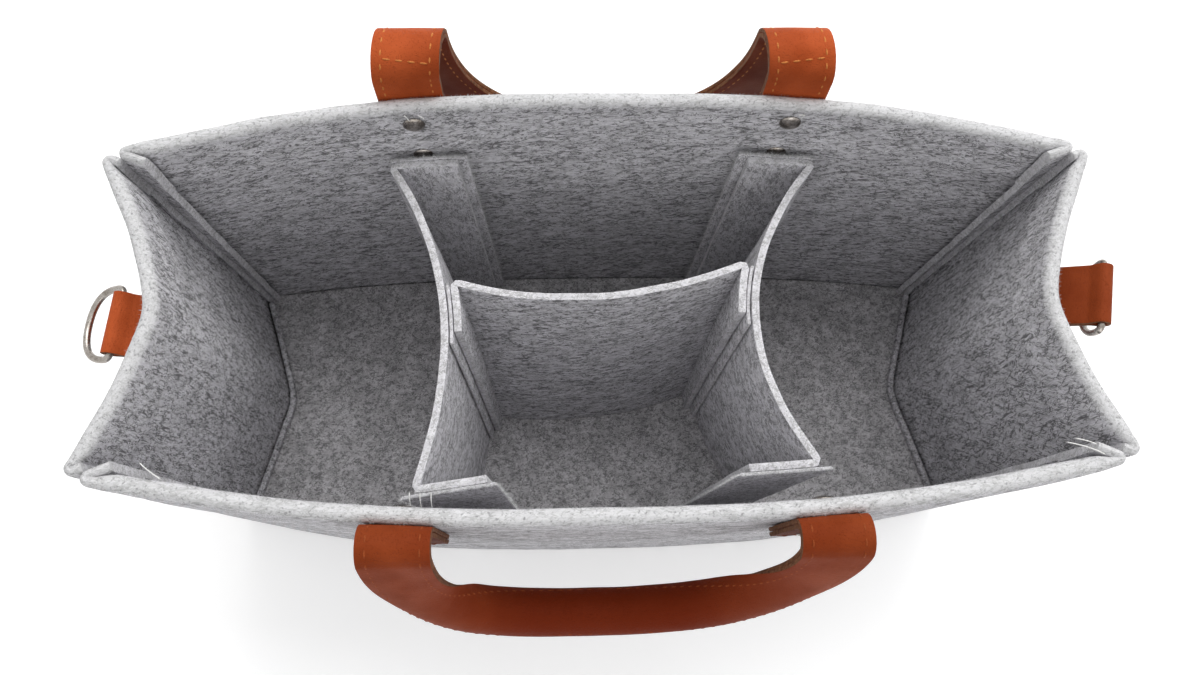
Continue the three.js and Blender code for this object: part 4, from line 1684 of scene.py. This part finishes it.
    def cross_rows(self) -> list[float]:
        """Rows sewn across the strap.

        Returns:
            Their distances along it.
        """
        found = [4.5]
        if self.line.rise > 0:
            found.append(self.end_length + self.line.rise + self.line.curl * 0.9)
        return found + [self.reach[-1] - distance for distance in found]

    def rivet(self, side: int, index: int) -> None:
        """Double-cap rivet through one end of the strap.

        Args:
            side: 1 for the right end, -1 for the left.
            index: 0 for the upper rivet, 1 for the lower.
        """
        tub, wall, below = self.tub, self.line.wall, self.rivets[index]
        z = tub.height - below
        x = side * self.spacing / 2
        outward = -tub.inward(wall, x / tub.half_length(z), z)
        slope = tub.long_y(wall.sign, x, z + 1) - tub.long_y(wall.sign, x, z)
        outward.z = -wall.sign * slope
        seat = Vector((x, tub.long_y(wall.sign, x, z), z))
        layers = 2 * tub.felt if below < tub.hem else tub.felt
        outer_seat, inner_seat, post_past = 0.8, 0.35, 4
        bm = bmesh.new()
        for foot, facing in ((2 * self.leather + outer_seat, 1), (-layers - inner_seat, -1)):
            self.cap(bm, foot, facing)
        made = bmesh.ops.create_cone(bm, cap_ends=True, segments=20, radius1=self.rivet_post,
                                     radius2=self.rivet_post, depth=layers + post_past)
        bmesh.ops.translate(bm, verts=made["verts"], vec=Vector((0, 0, (post_past - layers) / 2)))
        turn = UP.rotation_difference(outward.normalized()).to_matrix().to_4x4()
        bmesh.ops.transform(bm, matrix=Matrix.Translation(seat) @ turn, verts=bm.verts)
        name = f"{self.line.wall.value}_{'right' if side > 0 else 'left'}_{('upper', 'lower')[index]}"
        piece = new_piece(f"{name}_rivet_cap", bm, self.finishes.nickel)
        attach(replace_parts(piece, f"{name}_rivet"), Body.SHELL.value)

    @staticmethod
    def cap(bm: bmesh.types.BMesh, foot: float, facing: int) -> None:
        """Domed rivet cap with a rolled rim, turned about the post's axis.

        Args:
            bm: Mesh that it is added to.
            foot: Height of its underside on the axis.
            facing: 1 for the outer cap, -1 for the inner one.
        """
        dome = [(0.0, 1.55), (1.6, 1.45), (3.0, 1.12), (3.9, 0.72), (4.4, 0.34)]
        profile = [*dome, (4.5, 0.08), (4.3, -0.06), (1.4, 0.0)]
        points = [bm.verts.new((r, 0, foot + facing * h)) for r, h in profile]
        edges = [bm.edges.new(pair) for pair in zip(points, points[1:])]
        bmesh.ops.spin(bm, geom=points + edges, cent=(0, 0, 0), axis=(0, 0, 1), angle=2 * math.pi, steps=36,
                       use_merge=True, use_duplicate=False)
        bmesh.ops.remove_doubles(bm, verts=bm.verts, dist=1e-4)
        bmesh.ops.recalc_face_normals(bm, faces=bm.faces)

    def build(self) -> None:
        """Make the strap's layers, stitches and rivets."""
        middle = (self.leather + self.layer_gap) / 2
        self.layer("face", middle, self.leather_finish)
        # The lining layer takes the darker copy of the leather, which carries painted shade.
        self.layer("lining", -middle, self.finishes.lining)
        self.stitches()
        for side in (1, -1):
            for index in (0, 1):
                self.rivet(side, index)


@dataclass
class RingTab:
    """Folded leather tab on one end wall with a D-ring in its fold.

    It is made at the origin of the right end, with X out of the wall, and then moved onto its end.

    Attributes:
        finishes: The caddy's materials.
        tub: The tub.
        leather_finish: Material of its leather.
        wall: End wall that it sits on.
        body: Body of its ring.
        pivot: Centre of the ring's bar.
        eye_out: Distance of the bar from the wall.
        turn: Angle in degrees by which the tab turns about the upright.
        droop: Angle in degrees by which the ring hangs.
    """

    finishes: Finishes
    tub: Tub
    leather_finish: bpy.types.Material
    wall: Wall
    body: Body
    pivot: tuple[float, float, float]
    eye_out: float
    turn: float
    droop: float
    width: float = 25
    leather: float = 1.7
    leg: float = 26
    leg_below: float = 24
    wire: float = 1.4
    depth: float = 16
    corner: float = 3
    eye_gap: float = 0.3
    side_gap: float = 0.7
    stitch_inset: float = 2.9
    stitch_length: float = 3.2
    steps: int = 120

    @property
    def name(self) -> str:
        """Side that the tab is on."""
        return self.wall.value

    @property
    def eye(self) -> Vector:
        """Centre of the ring's bar before the tab is moved onto its wall."""
        return Vector((self.eye_out, 0, self.pivot[2]))

    def onto_end(self, bm: bmesh.types.BMesh) -> bmesh.types.BMesh:
        """Turn and move a finished mesh onto this tab's end wall.

        Args:
            bm: The mesh.

        Returns:
            The same mesh.
        """
        half_turn = math.pi if self.wall.sign < 0 else 0
        turn = Matrix.Rotation(math.radians(self.turn) + half_turn, 4, "Z")
        move = Matrix.Translation(Vector(self.pivot) - turn @ self.eye)
        bmesh.ops.transform(bm, matrix=move @ turn, verts=bm.verts)
        return bm

    def tab_line(self) -> list[Vector]:
        """Middle line of the tab: up the wall, out to the eye, round it and back down the wall.

        Returns:
            Its points.
        """
        t = self.leather
        bend_below, bend_past, neck, wrap, wrap_steps = 5, 6, 4.5, 112, 16
        bend = Vector((1.5 * t, 0, self.tub.height - self.leg_below))
        foot = bend - UP * self.leg
        run = (self.eye - bend).normalized()
        side = Vector((run.z, 0, -run.x))
        radius = self.wire + self.eye_gap + t / 2
        below = bend - UP * bend_below
        line = [foot, below, *curve(below, bend + side * t * 0.4, bend + run * bend_past + side * t / 2, 6)]
        line.append(self.eye - run * neck + side * t / 2)
        for i in range(wrap_steps + 1):
            angle = math.radians(mix(-wrap, wrap, i / wrap_steps)) + math.atan2(run.z, run.x)
            line.append(self.eye + Vector((math.cos(angle), 0, math.sin(angle))) * radius)
        line += [self.eye - run * neck - side * t / 2, bend + run * bend_past - side * t / 2]
        inner = Vector((0.5 * t, 0, bend.z))
        return line + [inner + UP, inner - UP * 6, inner - UP * (self.leg - 0.6)]

    def tab(self) -> None:
        """The folded leather strip."""
        rows = resample(self.tab_line(), self.steps + 1)

        def place(along: float, across: float) -> Vector:
            return rows[round(along * self.steps)] + Vector((0, (2 * across - 1) * self.width / 2, 0))

        bm = self.onto_end(grid(self.steps, 16, place))
        piece = new_piece(f"{self.name}_ring_tab_leather", bm, self.leather_finish, self.finishes.edge)
        thicken(piece, self.leather * 0.97, 0.4)
        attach(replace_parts(piece, f"{self.name}_ring_tab"), Body.SHELL.value)

    def stitches(self) -> None:
        """Row across the tab near its fold and rows along both edges of its leg."""
        rows = resample(self.tab_line(), self.steps + 1)
        lift = self.leather / 2 + 0.1
        edge = self.width / 2 - self.stitch_inset

        def one(i: int, w: float, across: bool) -> Stitch:
            run = (rows[i + 1] - rows[i - 1]).normalized()
            normal = Vector((run.z, 0, -run.x))
            spot = rows[i] + normal * lift + Vector((0, w, 0))
            return Stitch(spot, Vector((0, 1, 0)) if across else run, normal)

        sewn = [one(i, w, False) for i in range(4, 34, 5) for w in (-edge, edge)]
        sewn += [one(42, mix(-edge + 1.5, edge - 1.5, k / 4), True) for k in range(5)]
        bm = self.onto_end(sew(sewn, self.stitch_length))
        piece = new_piece(f"{self.name}_ring_tab_stitches", bm, self.finishes.orange)
        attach(piece, Body.SHELL.value)

    def ring(self) -> None:
        """D-ring of round wire: a bar in the tab's fold and a half-round bow."""
        half = self.width / 2 + self.side_gap + self.wire
        r, d = self.corner, self.depth
        plan = [Vector((mix(-1, 1, i / 12) * (half - r), 0)) for i in range(13)]
        plan += curve(plan[-1], Vector((half, 0)), Vector((half, r)), 6)
        plan += curve(plan[-1], Vector((half, d)), Vector((0, d)), 16)
        plan += curve(plan[-1], Vector((-half, d)), Vector((-half, r)), 16)
        plan += curve(plan[-1], Vector((-half, 0)), Vector((r - half, 0)), 6)[:-1]
        droop = math.radians(self.droop)
        way = Vector((math.cos(droop), 0, -math.sin(droop)))
        line = [self.eye + Vector((0, p.x, 0)) + way * p.y for p in plan]
        bm = self.onto_end(tube(line, self.wire, 14, closed=True))
        piece = new_piece(f"{self.name}_ring_wire", bm, self.finishes.nickel)
        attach(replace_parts(piece, f"{self.name}_d_ring"), self.body.value)

    def build(self) -> None:
        """Make the tab, its stitches and the ring."""
        self.tab()
        self.stitches()
        self.ring()


@dataclass
class Studio:
    """Pale floor, soft light and the photograph's camera."""

    camera_at: tuple[float, float, float] = (-0.018303, -0.10549, 0.515497)
    tilt: float = 0.26805
    yaw: float = -0.154
    roll: float = -0.134
    focal_pixels: float = 929.22
    picture_width: float = 1200
    floor_glow: float = 0.27
    even_share: float = 0.5

    def camera(self) -> None:
        """Camera as fitted to the photograph."""
        forward = Vector((0, math.sin(self.tilt), -math.cos(self.tilt)))
        right = Vector((1, 0, 0))
        spin = Matrix.Rotation(self.yaw, 3, "Z")
        forward, right = spin @ forward, spin @ right
        right = Matrix.Rotation(self.roll, 3, forward) @ right
        up = right.cross(forward)
        data = bpy.data.cameras.new("camera")
        data.sensor_width = 36.0
        data.lens = self.focal_pixels / self.picture_width * data.sensor_width
        data.clip_start = 0.01
        camera = bpy.data.objects.new("camera", data)
        turn = Matrix((right, up, -forward)).transposed().to_4x4()
        camera.matrix_world = Matrix.Translation(self.camera_at) @ turn
        bpy.context.scene.collection.objects.link(camera)
        bpy.context.scene.camera = camera

    def floor(self) -> None:
        """Seamless pale floor."""
        bm = bmesh.new()
        bmesh.ops.create_grid(bm, x_segments=2, y_segments=2, size=3000)
        s = Shader("pale_floor")
        s.set(Base_Color=(0.9, 0.9, 0.9, 1), Roughness=0.9, Specular_IOR_Level=0.0)
        strength = s.math("MULTIPLY", s.seen(), self.floor_glow)
        glow = s.node("Emission", {"Color": (1, 1, 1, 1), "Strength": strength})
        both = s.node("AddShader", {0: s.surface.outputs[0], 1: glow.outputs[0]})
        s.links.new(both.outputs[0], s.nodes["Material Output"].inputs["Surface"])
        floor = new_piece("floor", bm, s.material)
        floor.location.z = -0.0004

    def world(self) -> None:
        """White surround that lights half evenly and half from a band, with little from straight above."""
        world = bpy.data.worlds.new("studio")
        world.use_nodes = True
        tree = NodeTree(world.node_tree)
        parts = tree.node("SeparateXYZ", {0: tree.node("TexCoord").outputs["Generated"]}).outputs
        band = tree.node("ValToRGB", {0: parts["Z"]})
        stops = ((0.0, 0.22), (0.35, 0.5), (0.6, 0.85), (0.8, 0.75), (0.93, 0.32), (1.0, 0.28))
        while len(band.color_ramp.elements) < len(stops):
            band.color_ramp.elements.new(0.5)
        for element, (at, level) in zip(band.color_ramp.elements, stops):
            element.position = at
            element.color = grey(level)
        rear = tree.remap(parts["Y"], -0.8, 0.8, 0.20, 1.55)
        light = tree.math("MULTIPLY", band.outputs[0], rear)
        white = tree.math("MAXIMUM", tree.seen(), self.even_share)
        strength = tree.node("Mix", {0: white, 2: light, 3: 1.0}).outputs[0]
        back = tree.nodes["Background"]
        back.inputs["Color"].default_value = (1, 1, 1, 1)
        tree.links.new(strength, back.inputs["Strength"])
        bpy.context.scene.world = world

    def lamp(self, name: str, at: tuple[float, float, float], size: float, power: float) -> None:
        """Square soft light aimed at the middle of the caddy.

        Args:
            name: Name of the light.
            at: Its place in metres.
            size: Its side in metres.
            power: Its power in watts.
        """
        data = bpy.data.lights.new(name, "AREA")
        data.shape = "SQUARE"
        data.size = size
        data.energy = power
        lamp = bpy.data.objects.new(name, data)
        lamp.location = at
        aim = Vector((0, 0, 0.1)) - Vector(at)
        lamp.rotation_euler = aim.to_track_quat("-Z", "Y").to_euler()
        bpy.context.scene.collection.objects.link(lamp)

    def build(self) -> None:
        """Set the camera, floor and lights."""
        bpy.context.scene.view_settings.view_transform = "Standard"
        self.camera()
        self.floor()
        self.world()
        self.lamp("back_softbox", (0.2, 1.0, 1.7), 1.4, 20)
        self.lamp("front_softbox", (0.1, -1.6, 0.85), 0.8, 3.6)
        self.lamp("right_softbox", (1.4, 0.4, 1.4), 1.2, 6)


THREADS = (
    LooseThread((-80.3, 79.3, 177.8), (-78.6, 78.9, 173.6), 0.3),
    LooseThread((-74.8, 79.4, 177.6), (-72.4, 79.0, 175.0), 0.3),
    LooseThread((79.2, 79.0, 176.9), (82.0, 79.0, 176.9), 0.2),
    LooseThread((82.0, 79.0, 176.9), (80.6, 78.8, 174.4), 0.0),
    LooseThread((-168.5, -58.0, 181.2), (-160.0, -64.5, 180.6), 2.0),
    LooseThread((166.0, -57.0, 180.8), (181.0, -62.5, 181.4), 2.6),
    LooseThread((171.0, -55.5, 179.0), (178.0, -58.5, 181.6), 1.2),
    LooseThread((-79.2, -66.6, 144.6), (-78.6, -72.6, 143.0), 2.2, Body.INSERT),
    LooseThread((-75.0, -66.8, 144.6), (-74.6, -72.8, 142.6), 2.2, Body.INSERT),
    LooseThread((-70.6, -67.0, 144.6), (-70.4, -73.0, 142.8), 2.2, Body.INSERT),
)


FRONT_LINE = HandleLine(Wall.FRONT, Body.FRONT_HANDLE, rise=-2, curl=6, lean=0, hang=62, drop=81,
                        standoff=33, belly=1.5, tilt=91, squareness=(2.5, 1.8), arch=90)
BACK_LINE = HandleLine(Wall.BACK, Body.BACK_HANDLE, rise=9, curl=9, lean=3, hang=75, drop=80,
                       standoff=27, belly=1.0, tilt=20, squareness=(2.3, 2.3), arch=0)


def main() -> None:
    """Build the caddy and its studio."""
    logging.basicConfig(level=logging.INFO, format="%(name)s: %(message)s")
    Studio().build()
    finishes = Finishes()
    tub = Tub(finishes)
    tub.build()
    Insert(finishes, tub).build()
    Handle(finishes, tub, FRONT_LINE, finishes.leather, finishes.orange).build()
    # The back handle takes the lighter copy of the leather, which carries painted light.
    Handle(finishes, tub, BACK_LINE, finishes.painted_light_leather, finishes.amber).build()
    for i, thread in enumerate(THREADS):
        thread.build(f"loose_thread_{i + 1}", finishes)
    # The left tab takes the lighter copy of the leather, which carries painted light.
    RingTab(finishes, tub, finishes.painted_light_leather, Wall.LEFT, Body.LEFT_RING,
            pivot=(-192.320, -0.484, 160), eye_out=14.5, turn=-6, droop=27).build()
    RingTab(finishes, tub, finishes.leather, Wall.RIGHT, Body.RIGHT_RING,
            pivot=(197.210, 2.946, 170), eye_out=19.5, turn=-12, droop=90).build()


if __name__ == "__main__":
    main()
